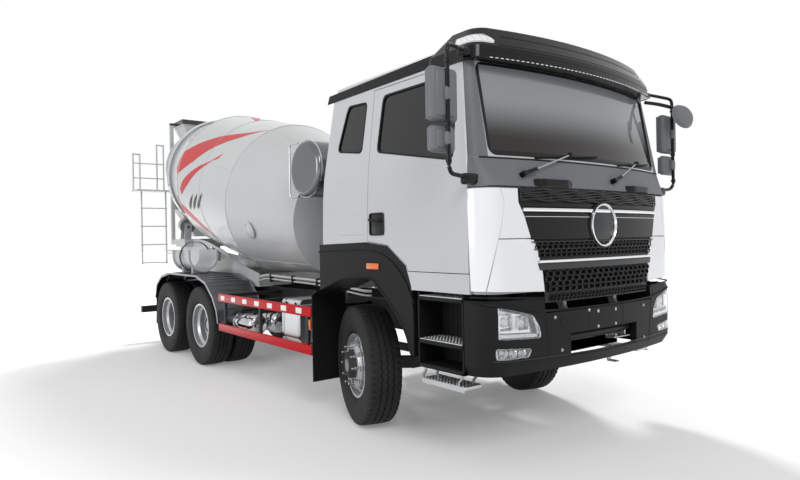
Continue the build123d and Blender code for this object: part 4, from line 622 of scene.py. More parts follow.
# %% Camera
# the eye stands at 1.68 m, ahead of the truck's right front corner, and looks back at it
eye = np.array([7.290, -4.283, 1.6815])
turn, tip, lean = math.radians(38.337), math.radians(-0.062), math.radians(-1.003)
look = np.array([-math.cos(turn) * math.cos(tip), math.sin(turn) * math.cos(tip), math.sin(tip)])
level = np.cross(look, (0, 0, 1))
level /= np.linalg.norm(level)
upright = np.cross(level, look)
camera_data = bpy.data.cameras.new("camera")
camera_data.sensor_width = 36.0
camera_data.lens = 27.644
camera_data.clip_end = 500.0
camera = bpy.data.objects.new("camera", camera_data)
camera_right = math.cos(lean) * level + math.sin(lean) * upright
camera_up = math.cos(lean) * upright - math.sin(lean) * level
camera.matrix_world = stand(camera_right, camera_up, -look, eye)
bpy.context.scene.collection.objects.link(camera)
bpy.context.scene.camera = camera
bpy.context.scene.view_settings.view_transform = "Standard"

# %% [markdown]
# ## The skin of the cab's front
# Seen from above, the front is a shallow arc that turns round a corner into the side. All
# trim on it has to follow that line. So one function gives a point of the skin from its
# height and its distance round the skin from the middle, and every grille bar, lamp and
# panel is a grid on it.

# %% Plan outline at any height
# columns: Z, half width, foremost point, bow of the arc, corner radius
CAB_ROWS = np.array([
    (1180, 1245, 1785, 110, 230),
    (2045, 1245, 1757, 115, 200),
    (2250, 1238, 1700, 150, 90),
    (2980, 1165, 1575, 140, 75),
    (3090, 1135, 1510, 130, 90),
    (3150, 1030, 1380, 110, 150),
], float)
BUMPER_ROWS = np.array([
    (705, 1210, 1745, 110, 215),
    (780, 1243, 1785, 110, 230),
    (1135, 1245, 1790, 110, 230),
    (1240, 1245, 1778, 110, 230),
], float)
VISOR_ROWS = np.array([
    (2962, 1178, 1690, 170, 110),
    (3060, 1165, 1680, 170, 110),
    (3215, 1070, 1600, 150, 130),
], float)


def plan(rows, z):
    """The arc's radius, (half^2 + bow^2) / 2 bow, its centre, end angle and reach; the corner's arc."""
    half, nose, bow, corner = [np.interp(z, rows[:, 0], rows[:, k]) for k in range(1, 5)]
    radius = (half**2 + bow**2) / (2 * bow)
    centre = nose - radius
    corner_y = half - corner
    corner_x = centre + np.sqrt((radius - corner) ** 2 - corner_y**2)
    first = np.arctan2(corner_y, corner_x - centre)
    return radius, centre, first, radius * first, corner, corner_x, corner_y


def skin(rows, z, along, out=0.0):
    """Round the arc by the angle run / radius, then round the corner, then straight back."""
    z, along, out = np.broadcast_arrays(*[np.asarray(value, float) for value in (z, along, out)])
    radius, centre, first, reach, corner, corner_x, corner_y = plan(rows, z)
    run = np.abs(along)
    bend = corner * (math.pi / 2 - first)
    angle = np.where(run < reach, run / radius, np.minimum(first + (run - reach) / corner, math.pi / 2))
    on_arc = run < reach
    x = np.where(on_arc, centre + radius * np.cos(angle), corner_x + corner * np.cos(angle))
    y = np.where(on_arc, radius * np.sin(angle), corner_y + corner * np.sin(angle))
    x = x - np.maximum(run - reach - bend, 0)
    x, y = x + out * np.cos(angle), y + out * np.sin(angle)
    return np.stack([x, np.where(along < 0, -y, y), z], -1)


def skin_panel(rows, z_line, along_grid, out, thick):
    """A bent sheet on the skin: a row of heights by a grid of distances, thick mm deep."""
    z = np.asarray(z_line, float)[:, None]
    front = skin(rows, z, along_grid, out)
    return shell(front, skin(rows, z, along_grid, out - thick) - front)


def bar(rows, z, s_from, s_to, height, depth, out, columns=49):
    """A strip of a rounded section that runs along the skin at one height."""
    along = np.linspace(s_from, s_to, columns)
    path = skin(rows, z, along, out)
    a = np.linspace(0, 2 * math.pi, 13)[:-1]
    section = np.stack([np.sign(np.cos(a)) * np.abs(np.cos(a)) ** 0.6 * depth / 2,
                        np.sign(np.sin(a)) * np.abs(np.sin(a)) ** 0.6 * height / 2], 1)
    return swept(path, section, (0, 0, 1))


# %% [markdown]
# ## Grille
# The front flap carries, from the top: a strip of wavy louvres in six blocks, a chrome bar
# with a thin line below it, a smooth band, two rows of honeycomb, a second chrome bar over a
# satin grey band, and a deep honeycomb mesh. The honeycomb is real geometry: one six-sided
# cell is worked out once and copied into rows that are offset by half a cell.

# %% Louvres, bands and bars
grille_z = np.array([1200.0, 1260.0, 1925.0, 2034.0])
grille_half = np.array([690.0, 690.0, 915.0, 915.0])


def grille_band(z_low, z_high, out, thick, inset=6.0, rows=9):
    """A part of the flap between two heights, over its whole width."""
    z = np.linspace(z_low, z_high, rows)
    half = np.interp(z, grille_z, grille_half) - inset
    along = half[:, None] * np.linspace(-1, 1, 49)[None]
    return skin_panel(CAB_ROWS, z, along, out, thick)


backing = grille_band(1200, 2034, -22, 8, 0, 25)
put("grille_backing", backing, mesh_black, "front_flap", replaces=("grille_panel",))
smooth_band = merge(grille_band(1662, 1858, -2, 18), grille_band(1898, 1934, -4, 16))
put("grille_smooth_band", smooth_band, gloss_black, "front_flap", bevel=4)
put("grille_grey_band", grille_band(1440, 1490, 0, 20), band_grey, "front_flap", bevel=5)
chrome_bars = merge(
    bar(CAB_ROWS, 1878, -890, 890, 26, 16, 2),
    bar(CAB_ROWS, 1502, -760, 760, 20, 16, 4),
    bar(CAB_ROWS, 1829, -872, 872, 5, 6, 0),
)
put("grille_chrome_bars", chrome_bars, chrome, "front_flap")
thin_lines = merge(bar(CAB_ROWS, 1645, -815, 815, 8, 10, 0), bar(CAB_ROWS, 1590, -795, 795, 6, 8, -4))
put("grille_thin_lines", thin_lines, band_grey, "front_flap")

# wavy louvres: each is a thin blade whose height swings as a sine along the strip
louvres = []
for height, phase in zip((1950, 1968, 1986, 2004, 2022), (0, 1.1, 2.2, 3.3, 4.4)):
    along = np.linspace(-903, 903, 169)
    wave = 5.5 * np.sin(along / 46.0 + phase)
    path = skin(CAB_ROWS, height + wave, along, 0)
    blade = np.array([(-9, -3.2), (7, -3.6), (9, 0), (7, 3.6), (-9, 3.2)])
    louvres.append(swept(path, blade))
posts = [skin(CAB_ROWS, np.array([1940, 2030]), s, 1) for s in (-905, -605, -303, 0, 303, 605, 905)]
louvres += [swept(path, circle(5, 8), (1, 0.1, 0)) for path in posts]
put("grille_wavy_louvres", merge(*louvres), band_grey, "front_flap")


# %% Honeycomb
def honeycomb(z_low, z_high, cell_w, cell_h, out, depth, wall, inset=16):
    """Six-sided rings in offset rows, each bent onto the skin; walls are wall mm thick."""
    a = np.arange(6) * math.pi / 3 + math.pi / 6
    ring = np.stack([np.cos(a), np.sin(a)], 1)
    outer = ring * [cell_w / math.sqrt(3), cell_h / 2]
    inner = outer * (1 - 2 * wall / cell_w)
    step_z = cell_h * 0.75
    count_z = int((z_high - z_low) // step_z)
    centres = []
    for row in range(count_z):
        z = z_low + (z_high - z_low - (count_z - 1) * step_z) / 2 + row * step_z
        half = np.interp(z, grille_z, grille_half) - inset - cell_w / 2
        shift = cell_w / 2 * (row % 2)
        s = np.arange(-half + shift, half, cell_w)
        centres.append(np.stack([s + (half - s.max()) / 2 * (row % 2 == 0), np.full(len(s), z)], 1))
    centres = np.concatenate(centres)
    rings = ((outer, out), (inner, out + 1.5), (inner * 0.94, out - depth), (outer, out - depth))
    layers = []
    for outline, lift in rings:
        flat = centres[:, None] + outline[None]
        layers.append(skin(CAB_ROWS, flat[..., 1], flat[..., 0], lift))
    points = np.stack(layers, 1)  # cell, layer, corner, xyz
    faces = grid_faces(4, 6, round_rows=True, round_columns=True)
    count = len(centres)
    all_faces = (faces[None] + 24 * np.arange(count)[:, None, None]).reshape(-1, 4)
    return points.reshape(-1, 3), [all_faces]


cells = merge(
    honeycomb(1525, 1662, 58, 40, 0, 16, 5.0),
    honeycomb(1268, 1440, 74, 50, 0, 18, 6.0),
)
put("grille_honeycomb", cells, mesh_black, "front_flap", sharp=25)
lower = honeycomb(1206, 1262, 44, 30, -2, 14, 4.5, inset=40)
put("grille_lower_mesh", lower, mesh_black, "front_flap", sharp=25)

# %% [markdown]
# The round plate in the middle is left plain: a dished disc in a bright ring, standing out
# from the bars on a dark collar. The disc is a turned form: a profile spun about the X axis.

# %% Round plate
plate_centre = np.array([1757.0, 0.0, 1767.0])
ring_profile = [(-4, 150), (6, 149), (18, 153), (24, 161), (20, 169), (8, 172), (-4, 172)]
collar_profile = [(-40, 150), (-40, 186), (-4, 190), (6, 184), (8, 170), (0, 150)]
disc_profile = [(-20, 0), (-20, 152), (2, 152), (4, 140), (9, 90), (12, 40), (13, 0)]
for name, profile, ahead, material in (
    ("ring", ring_profile, 7, chrome), ("collar", collar_profile, 7, grained),
    ("disc", disc_profile, 5, band_grey),
):
    shape = turned(profile, plate_centre + [ahead, 0, 0], (1, 0, 0), 64)
    put(f"round_plate_{name}", shape, material, "front_flap")

# %% [markdown]
# ## Corner fairings
# Two white pressings turn each front corner. The outer one wraps into the side; the inner
# one is a flatter panel that is set back a little behind a crease, with a joint across it at
# mid height. Both are grids on the skin, and the set-back is a small step in their distance
# from it.

# %% Fairing panels
fairing_z = np.array([1272.0, 1424.0, 1596.0, 1736.0, 1932.0, 2034.0])
inner_edge = np.array([700.0, 712.0, 757.0, 822.0, 922.0, 923.0])  # beside the flap
crease_edge = np.array([1226.0, 1188.0, 1140.0, 1096.0, 1056.0, 1088.0])
door_edge = np.array([1334.0, 1336.0, 1338.0, 1338.0, 1338.0, 1337.0])
FAIRING_THICK = 22.0


def fairing_panel(z_low, z_high, edge_a, edge_b, out, columns, rows=25):
    """A sheet between two lines that are given as distances round the skin."""
    z = np.linspace(z_low, z_high, rows)
    along = between(np.interp(z, fairing_z, edge_a), np.interp(z, fairing_z, edge_b), columns)
    return skin_panel(CAB_ROWS, z, along, out, FAIRING_THICK)


def low_edge(panel):
    """The lowest row rises by 26 mm towards the side, as the bumper's top does; higher rows less."""
    points, faces = panel
    to_side = np.clip((np.abs(points[:, 1]) - 700) / 545, 0, 1)
    fade = np.clip((1420 - points[:, 2]) / 148, 0, 1)
    lift = 26.0 * to_side * fade
    return points + np.stack([0 * lift, 0 * lift, lift], 1), faces


fairings = merge(
    fairing_panel(1284, 1668, inner_edge + 2, crease_edge - 4, -7, 17),
    fairing_panel(1674, 2030, inner_edge + 2, crease_edge - 4, -3, 17),
    fairing_panel(1284, 2030, crease_edge, door_edge, 0, 29, 41),
)
put("corner_fairing_panels", other_side(low_edge(fairings)), white_enamel, "cab", bevel=5,
    replaces=("corner_fairings",))

# %% [markdown]
# ## Places on the skin
# Some things are known by how far they are from the truck's middle, others by how far ahead
# they are. Two small functions turn either one into the distance round the skin, and a third
# goes straight to the point.


# %% From Y or X to the distance round the skin
def round_to_y(rows, z, y):
    """On the arc sin(angle) = y / radius; past it sin(angle) = (y - corner_y) / corner."""
    radius, _, first, reach, corner, _, corner_y = plan(rows, z)
    size = np.abs(y)
    on_arc = size < radius * np.sin(first)
    in_corner = np.arcsin(np.clip((size - corner_y) / corner, 0, 1))
    along = np.where(on_arc, radius * np.arcsin(np.clip(size / radius, 0, 1)),
                     reach + (in_corner - first) * corner)
    return np.sign(y) * along


def round_to_x(rows, z, x):
    """Past the corner the skin runs straight back, so the distance grows as X falls."""
    _, _, first, reach, corner, corner_x, _ = plan(rows, z)
    return reach + corner * (math.pi / 2 - first) + corner_x - x


def before(y, z, out, rows=CAB_ROWS):
    """A point in front of the cab: the skin's point at Y and Z, moved out."""
    return skin(rows, z, round_to_y(rows, z, y), out)


def side_y(z):
    """Half the cab's width at a height."""
    return np.interp(z, CAB_ROWS[:, 0], CAB_ROWS[:, 1])


def on_side(x, z, out=0.0):
    """A point of the cab's left side wall; out is how far it stands proud."""
    x, z = np.broadcast_arrays(np.asarray(x, float), np.asarray(z, float))
    return np.stack([x, side_y(z) + out, z], -1)


def side_patch(x_low, x_high, z, out, thick):
    """A sheet on the side wall between two slanted ends, whose X are given for each height."""
    x = between(x_low, x_high, 9)
    front = on_side(x, np.broadcast_to(z[:, None], x.shape), out)
    return shell(front, (0, -thick, 0))


# %% [markdown]
# ## The cab's sides
# The roof's side is a light band with a painted shadow under it: a dark strip where the drip rail shades the
# side wall. The front pillars are dark too, from the door's front edge to the glass, so the windscreen and
# the cowl read as one mask.
# Behind the door a shallow panel is pressed into the sheet.

# %% Roof-edge painted shadow, front pillars, pressed panel
# under the roof's edge: a black strip as painted shadow of the drip rail on the side wall
strip_x = np.linspace(-425, 1330, 33)
strip_low = np.interp(strip_x, (-425, 1330), (2974, 2992))
strip_high = np.interp(strip_x, (-425, 1330), (3056, 3098))
strip_z = between(strip_low, strip_high, 5).T
strip = shell(on_side(np.broadcast_to(strip_x, strip_z.shape), strip_z, 7), (0, -12, 0))
put("roof_edge_painted_shadow", other_side(strip), grained, "cab", bevel=3)

pillar_z = np.linspace(2252, 2968, 19)
door_edge_x = np.interp(pillar_z, (2250, 2955), (1512, 1411))
pillar_in = round_to_y(CAB_ROWS, pillar_z, np.interp(pillar_z, (2250, 2968), (1102, 1100)))
pillar_out = round_to_x(CAB_ROWS, pillar_z, door_edge_x)
pillar_s = pillar_in[:, None] + (pillar_out - pillar_in)[:, None] * np.linspace(0, 1, 15)[None]
pillars = skin_panel(CAB_ROWS, pillar_z, pillar_s, 3, 6)
put("front_pillar_covers", other_side(pillars), cowl_grey, "cab", bevel=2)

pressed_z = np.linspace(1726, 1980, 9)
pressed_low = np.interp(pressed_z, (1726, 1980), (-128, -322))
points, faces = side_patch(pressed_low, np.full(9, 228.0), pressed_z, 4, 8)
# the upper edge falls by 84 mm from the rear corner to the front one
ahead, above = (points[:, 0] + 322) / 550, np.clip((points[:, 2] - 1726) / 254, 0, 1)
points[:, 2] -= ahead * above * 84
put("pressed_side_panels", other_side((points, faces)), cab_enamel_painted_shade, "cab", bevel=4)

# %% [markdown]
# A truck door's handle is a lever in a dark cup, hinged at its front end. The cup is a
# shallow plate with a raised rim, and the lever stands clear of it so that fingers fit.

# %% Door handles
DOORS = (("door_right", -1), ("door_left", 1))
for body, side in DOORS:
    cup = block((338, 532), (1238, 1247), (1722, 1902), 10, 3)
    rim_line = [(430, 1722), (534, 1722), (534, 1902), (336, 1902), (336, 1722), (430, 1722)]
    rim_line = rounded_path(rim_line, 24)[:-1]
    rim = swept(on_side(*rim_line.T, 4), circle(6, 8), (0, 1, 0.01), closed=True)
    lever_line = [(352, 1246, 1850), (360, 1276, 1850), (505, 1276, 1838), (520, 1246, 1836)]
    lever = tube(lever_line, 13, 30, 10, (0, 0.1, 1))
    for name, shape, material in (("cup", merge(cup, rim), gloss_black), ("lever", lever, grained)):
        put(f"handle_{name}_{body}", mirrored(shape) if side < 0 else shape, material, body)

# %% [markdown]
# ## Wheel arch panels
# The arch has a rolled lip, a crease that carries the door's lower line on, and an amber
# side marker.

# %% Arch lip, crease and marker
ARCH_FACE_Y = 1243.0


def on_arch(line):
    """Points of (X, Z) on the arch panel's outer face."""
    return np.insert(line, 1, ARCH_FACE_Y, axis=1)


arch_line = [(-498, 1208), (-147, 1324), (49, 1352), (331, 1357), (450, 1266), (640, 1120), (800, 930),
             (855, 774)]
lip = swept(on_arch(rounded_path(arch_line, 160, 7) + [3, 7]), circle(11, 10), (0, 1, 0.01))
crease_line = [(-520, 1572), (230, 1592), (540, 1560), (770, 1400), (905, 1180)]
crease = swept(on_arch(rounded_path(crease_line, 140, 7)), [(-7, -9), (7, 0), (-7, 9)], (0, 1, 0.01))
put("arch_lips_and_creases", other_side(merge(lip, crease)), grained, "cab")
marker = block((285, 455), (1240, 1258), (1432, 1484), 7, 3)
put("side_markers", other_side(marker), amber, "cab")
marker_base = block((279, 461), (1240, 1249), (1426, 1490), 4, 3)
put("side_marker_bases", other_side(marker_base), black_rubber, "cab")

# %% [markdown]
# ## Windscreen surround
# Laminated glass is glued in, and a black enamel band printed round its edge hides the glue.
# The band lies on the glass, so it is a ring of the same curved surface a millimetre proud.


# %% Printed band round the windscreen
def ring_on_skin(outline, inset, out, thick, steps):
    """A band between an outline of (Y, Z) points and the outline clipped by insets (side, foot, top)."""
    outline = np.asarray(outline, float)
    fine = rounded_path(np.concatenate([outline, outline[:1]]), 1, 2)
    dense = np.concatenate([a + (b - a) * np.linspace(0, 1, steps, endpoint=False)[:, None]
                            for a, b in zip(fine[:-1], fine[1:])])
    dense = dense[np.r_[True, np.linalg.norm(np.diff(dense, axis=0), axis=1) > 0.5]]
    side_in, foot_in, top_in = inset
    low, high = outline.min(0) + [side_in, foot_in], outline.max(0) - [side_in, top_in]
    drawn = np.clip(dense, low, high)
    lines = ((dense, out), (drawn, out), (drawn, out - thick), (dense, out - thick))
    points = np.stack([before(*line.T, lift) for line, lift in lines], 1)
    return points.reshape(-1, 3), [grid_faces(len(dense), 4, round_rows=True, round_columns=True)]


glass_edge = [(-1096, 2266), (1096, 2266), (1099, 2700), (1101, 2964), (-1101, 2964), (-1099, 2700)]
printed_band = ring_on_skin(glass_edge, (36, 40, 24), -8.5, 1.2, 12)
put("windscreen_printed_band", printed_band, frit_black, "cab")
seal_edge = [(-1097, 2264), (1097, 2264), (1101, 2965), (-1101, 2965)]
seal = ring_on_skin(seal_edge, (9, 9, 9), -1.0, 9.0, 12)
put("windscreen_seal", seal, black_rubber, "cab")


def side_ring(outline, radius, width, y_out, thick):
    """A flat rubber seal round a side window, whose outline is given as (X, Z)."""
    outline = np.asarray(outline, float)
    start = outline[-1] * 0.5 + outline[0] * 0.5
    loop = rounded_path([start, *outline, start], radius * 1.6, 6)[:-1]
    run = np.roll(loop, -1, 0) - np.roll(loop, 1, 0)
    normal = np.stack([run[:, 1], -run[:, 0]], 1)
    normal /= np.linalg.norm(normal, axis=1, keepdims=True)
    centre = loop.mean(0)
    outward = np.sign(((loop - centre) * normal).sum(1, keepdims=True))
    inner = loop - normal * outward * width
    back = y_out - thick
    lines = ((loop, y_out), (inner, y_out), (inner, back), (loop, back))
    points = np.stack([on_side(*line.T, out) for line, out in lines], 1)
    return points.reshape(-1, 3), [grid_faces(len(loop), 4, round_rows=True, round_columns=True)]


door_window = [(415, 2412), (1365, 2240), (1365, 2560), (1330, 2893), (461, 2893)]
quarter_window = [(-205, 2487), (200, 2430), (238, 2882), (-66, 2897)]
for body, side in DOORS:
    points, faces = side_ring(door_window, 45, 16, 2, 14)
    put(f"window_seal_{body}", (points * [1, side, 1], faces), black_rubber, body)
quarter_seal = side_ring(quarter_window, 45, 14, 2, 14)
put("quarter_window_seals", other_side(quarter_seal), black_rubber, "cab")

# %% [markdown]
# ## Cowl, handles and wipers
# Below the glass a grey moulding carries two wipers and two hand grips for whoever cleans
# the screen. A wiper is an arm on a spindle, a spring cover at its foot, and a blade that
# the arm holds at its middle. Each is placed on the skin by its Y and Z, and stood off it.

# %% Wipers and hand grips
wiper_arms, wiper_blades, wiper_bright = [], [], []
# columns: spindle Y and Z, arm's end, blade's two ends
WIPERS = (
    ((-853, 2138), (-328, 2306), (-687, 2266), (25, 2313)),
    ((179, 2128), (644, 2304), (336, 2268), (923, 2313)),
)
for spindle, tip, left, right in WIPERS:
    foot, end = before(*spindle, 34), before(*tip, 30)
    hinge = foot + (end - foot) * 0.22 + [14, 0, 0]
    wiper_arms.append(swept(np.stack([foot, hinge]), [(-13, -9), (13, -9), (13, 9), (-13, 9)], (1, 0, 0.4)))
    rod_line = [hinge, hinge + (end - hinge) * 0.5, end]
    wiper_bright.append(swept(rod_line, circle(6.5, 8), (1, 0, 0.4)))
    wiper_arms.append(turned([(-34, 0), (-34, 22), (12, 20), (18, 12), (18, 0)], foot, (1, 0, 0.35), 20))
    across = np.linspace(0, 1, 17)
    line = before(left[0] + (right[0] - left[0]) * across, left[1] + (right[1] - left[1]) * across, 14)
    blade = [(-7, -11), (7, -11), (4, 7), (1.5, 11), (-1.5, 11), (-4, 7)]
    wiper_blades.append(swept(line, blade, (1, 0, 0.3)))
    wiper_blades.append(block(*[(c - 16, c + 16) for c in end], 6, 3))
put("wiper_arms", merge(*wiper_arms), gloss_black, "cab")
put("wiper_rods", merge(*wiper_bright), zinc, "cab")
put("wiper_blades", merge(*wiper_blades), black_rubber, "cab")

grips = []
for left, right, high, low in ((-759, -371, 2102, 2052), (380, 772, 2094, 2048)):
    y = np.linspace(left, right, 17)
    z = np.full(17, (high + low) / 2)
    depth = np.interp(y, (left, left + 70, right - 70, right), (4, 34, 34, 4))
    path = before(y, z, 0) + np.stack([depth, 0 * depth, 0 * depth], 1)
    height = np.interp(y, (left, left + 60, right - 60, right), (1.0, 1.0, 1.0, 0.7)) * (high - low) / 2
    section = np.array([(-8, -1), (8, -1), (11, 0), (8, 1), (-8, 1)])
    grips.append(swept(path, section[None] * np.stack([np.ones(17), height], 1)[:, None], (0, 0, 1)))
    for end in (left + 55, right - 55):
        point = before(end, (high + low) / 2, 8)
        grips.append(block((point[0] - 20, point[0] + 22), (end - 24, end + 24), (low + 6, high - 6), 6, 3))
put("cowl_grips", merge(*grips), gloss_black, "cab", bevel=2)

# a thin ledge where the cowl meets the glass, and the joint above the flap
cowl_ledge = bar(CAB_ROWS, 2250, -1190, 1190, 12, 12, 0, 61)
cowl_joint = bar(CAB_ROWS, 2043, -1180, 1180, 5, 3, 0, 61)
put("cowl_ledge", cowl_ledge, black_rubber, "cab")
put("cowl_joint", cowl_joint, bore_dark, "cab")

# %% [markdown]
# ## Sun visor
# A glossy black moulding with a rolled lower edge. Under the edge runs a bright bead, and
# each front corner holds a slim clear lamp with facets behind it.

# %% Visor bead, lamps, roof fins
visor_s = np.linspace(-1330, 1330, 77)
bead_path = skin(VISOR_ROWS, 2966, visor_s, 1)
put("visor_lower_edge", swept(bead_path, circle(8, 8)), gloss_black, "cab")
dash_count, dash_half, dash_share = 46, 1060, 0.55
dash_pitch = 2 * dash_half / dash_count
dashes = []
for k in range(dash_count):
    start = -dash_half + dash_pitch * k
    line = skin(VISOR_ROWS, 2968, np.linspace(start, start + dash_pitch * dash_share, 3), 9)
    dashes.append(swept(line, circle(3.2, 6)))
put("visor_bright_beads", merge(*dashes), chrome, "cab")

lamp_z = np.array([3092.0, 3110.0, 3130.0, 3146.0])
lamp_in = np.array([1010.0, 990.0, 1010.0, 1060.0])
lamp_out = np.array([1290.0, 1300.0, 1290.0, 1270.0])
lamp_face = skin_panel(VISOR_ROWS, lamp_z, between(lamp_in, lamp_out, 17), 5, 6)
bezel = skin_panel(VISOR_ROWS, lamp_z + [-9, 0, 0, 9], between(lamp_in - 12, lamp_out + 12, 17), 1.5, 4)
put("visor_lamp_lenses", other_side(lamp_face), white_lens, "cab", bevel=2)
put("visor_lamp_bezels", other_side(bezel), chrome, "cab")
facet_z = np.linspace(3098, 3140, 4)
facets = [swept(skin(VISOR_ROWS, facet_z, s, 6), circle(2.5, 6), (0.2, 1, 0)) for s in range(1040, 1241, 50)]
put("visor_lamp_ribs", other_side(merge(*facets)), chrome, "cab")

# three shallow ribs that run across the visor's face
ribs = [bar(VISOR_ROWS, z, -s, s, 9, 7, 0, 61) for z, s in ((3030, 1120), (3075, 950), (3150, 900))]
put("visor_ribs", merge(*ribs), gloss_black, "cab")

# %% [markdown]
# ## Mirrors
# Each side has a tall main mirror and a square wide-angle one on a bent tube, and the far
# side also has an oval mirror that looks down at the front corner. A mirror head is a
# rounded shell, and its glass faces back, so from the front one sees the shells.

# %% Mirror heads, tubes and glass
heads, glasses, tubes = [], [], []
# rows: the main head and the wide-angle one, each by its ranges of X, Y and Z
HEADS = (((1470, 1556), (1350, 1598), (2467, 2836)), ((1470, 1544), (1366, 1588), (2259, 2445)))
for (x0, x1), (y0, y1), (z0, z1) in HEADS:
    heads.append(block((x0, x1), (y0, y1), (z0, z1), 38, 6))
    heads.append(block((x0 - 4, x0 + 20), (y0 + 14, y1 - 14), (z0 + 14, z1 - 14), 8, 3))
    glasses.append(block((x0 - 7, x0 + 3), (y0 + 24, y1 - 24), (z0 + 24, z1 - 24), 4, 2))
    # a clamp round the tube, at the middle of the head's inner edge
    middle = (z0 + z1) / 2
    heads.append(block((1530, 1590), (1446, 1502), (middle - 48, middle + 48), 18, 4))
    # the shell's raised middle, behind the clamp
    heads.append(block((1520, x1 + 10), (y0 + 40, y1 - 34), (z0 + 30, z1 - 30), 16, 4))
tube_line = [(1452, 1130, 3020), (1500, 1330, 3010), (1572, 1470, 2985), (1574, 1474, 2900),
             (1574, 1474, 2160), (1560, 1440, 2118), (1550, 1215, 2094)]
tubes.append(tube(tube_line, 15, 70, 14))
for z in (2870, 2452, 2200):
    tubes.append(turned([(-12, 0), (-12, 21), (12, 21), (12, 0)], (1574, 1474, z), (0, 0, 1), 18))
lower_foot = block((1520, 1580), (1180, 1330), (2052, 2130), 20, 4)
upper_foot = block((1420, 1490), (1120, 1240), (2975, 3035), 16, 4)
oval_centre = np.array([1700.0, 1438.0, 2800.0])
arm_line = [(1500, 1120, 2925), (1560, 1250, 2915), (1640, 1380, 2880), oval_centre - [20, 0, -20]]
oval_arm = tube(arm_line, 17, 90, 12)
facing = np.array([-1.0, 0.2, -0.25])
shell_profile = [(-26, 0), (-26, 70), (-20, 92), (0, 106), (10, 112), (14, 108), (14, 0)]
oval = turned(shell_profile, oval_centre, facing, 48)
oval_glass = turned([(10, 0), (15.5, 0.5), (15.5, 102), (10, 103)], oval_centre, facing, 48)
# a round form drawn out sideways becomes an oval
DRAWN_OUT = np.array([1, 1.36, 1.06])
oval, oval_glass = [
    ((points - oval_centre) * DRAWN_OUT + oval_centre, faces) for points, faces in (oval, oval_glass)
]
heads = merge(other_side(merge(*heads)), oval)
put("mirror_heads", heads, mirror_shell, "cab", replaces=("mirrors",))
tubes = merge(other_side(merge(lower_foot, upper_foot, *tubes)), oval_arm)
put("mirror_tubes", tubes, gloss_black, "cab")
put("mirror_glasses", merge(other_side(merge(*glasses)), oval_glass), chrome, "cab")

# %% [markdown]
# ## Bumper
# One charcoal moulding in three parts, with a step across its top edge, a slot for the tow
# pin in the middle, and two lamps at each corner. Under a clear cover a headlamp has two
# square chromed cups with a lens in each and a strip of daytime light along the foot.

# %% Lines on the bumper
on_bumper = partial(before, rows=BUMPER_ROWS)


def line_on(rows, knots, out, section, count=41, up=(0, 0, 1)):
    """A section swept along (distance, Z) knots on the skin."""
    knots = np.asarray(knots, float)
    run = np.r_[0, np.cumsum(np.linalg.norm(np.diff(knots, axis=0), axis=1))]
    t = np.linspace(0, run[-1], count)
    distance, height = np.interp(t, run, knots[:, 0]), np.interp(t, run, knots[:, 1])
    path = skin(rows, height, distance, np.interp(distance, *out) if isinstance(out, tuple) else out)
    return swept(path, section, up)


# in the middle the step lies on the bumper's top edge, so that it doesn't stand out in front
step_line = [(1345, 1236), (1150, 1205), (770, 1150), (620, 1143), (560, 1139), (0, 1136)]
step_out = ((0, 600, 770, 2000), (-11.5, -11.5, 1, 1))
step_section = [(-9, -8), (6, -8), (10, 0), (6, 8), (-9, 8)]
step = line_on(BUMPER_ROWS, step_line, step_out, step_section)
upper = line_on(CAB_ROWS, [(1340, 1266), (1100, 1262), (720, 1240)], 0, circle(7, 8))
put("bumper_step", other_side(merge(step, upper)), grained, "chassis")
# a lighter grey line along the foot: painted highlight where the bevel under the bumper catches the light
lip_section = [(-4, -3), (4, -3), (5, 0), (4, 3), (-4, 3)]
lip = line_on(BUMPER_ROWS, [(1180, 824), (800, 812), (0, 800)], -0.7, lip_section)
put("bumper_foot_painted_highlight", other_side(lip), band_grey, "chassis")
outer_joint = [(772, 1196), (756, 1150), (716, 1124), (672, 760)]
outer_joint = line_on(BUMPER_ROWS, outer_joint, 0, circle(2.6, 6), 31, (0.1, 1, 0))
inner_joint = line_on(BUMPER_ROWS, [(232, 1124), (232, 975)], 0, circle(2.0, 6), 5, (0.1, 1, 0))
put("bumper_joints", other_side(merge(outer_joint, inner_joint)), bore_dark, "chassis")

# bolts, a round plug and a rubber-edged slot
BOLTS = [(-619, 1092), (-547, 844), (-232, 1116), (-116, 1098), (124, 1094), (-116, 980), (124, 978),
         (571, 816), (566, 1088)]
FOREMOST_X = 1789.6
bolts = []
for y, z in BOLTS:
    centre = on_bumper(y, z, 0)
    # a head stands 10 mm out, or less where the bumper reaches furthest forward
    head = min(10.0, FOREMOST_X - centre[0])
    profile = [(-6, 0), (-6, 13), (head * 0.2, 13), (head * 0.3, 9), (head * 0.8, 9), (head, 6), (head, 0)]
    bolts.append(turned(profile, centre, centre - on_bumper(y, z, -10), 12))
put("bumper_bolts", merge(*bolts), zinc, "chassis")
plug_at = on_bumper(-524, 1052, 0)
plug_profile = [(-10, 0), (-10, 40), (2, 40), (4, 36), (1, 33), (1, 0)]
plug = turned(plug_profile, plug_at, plug_at - on_bumper(-524, 1052, -10), 36)
put("tow_eye_plug", plug, grained, "chassis", bevel=1)
SLOT_HALF, SLOT_LOW, SLOT_TOP = 452, 790, 965
slot_y = np.linspace(-SLOT_HALF, SLOT_HALF, 33)
slot_lines = [swept(on_bumper(slot_y, z, -5), circle(7, 8)) for z in (SLOT_LOW, SLOT_TOP)]
for y in (-SLOT_HALF, SLOT_HALF):
    slot_lines.append(swept(on_bumper(y, np.linspace(SLOT_LOW, SLOT_TOP, 9), -5), circle(7, 8), (0.1, 1, 0)))
put("slot_edge", merge(*slot_lines), black_rubber, "chassis")
slot_tube = swept(on_bumper(np.linspace(-446, 446, 25), 915, -95), circle(34, 20))
put("slot_tube", slot_tube, frame_black, "chassis")
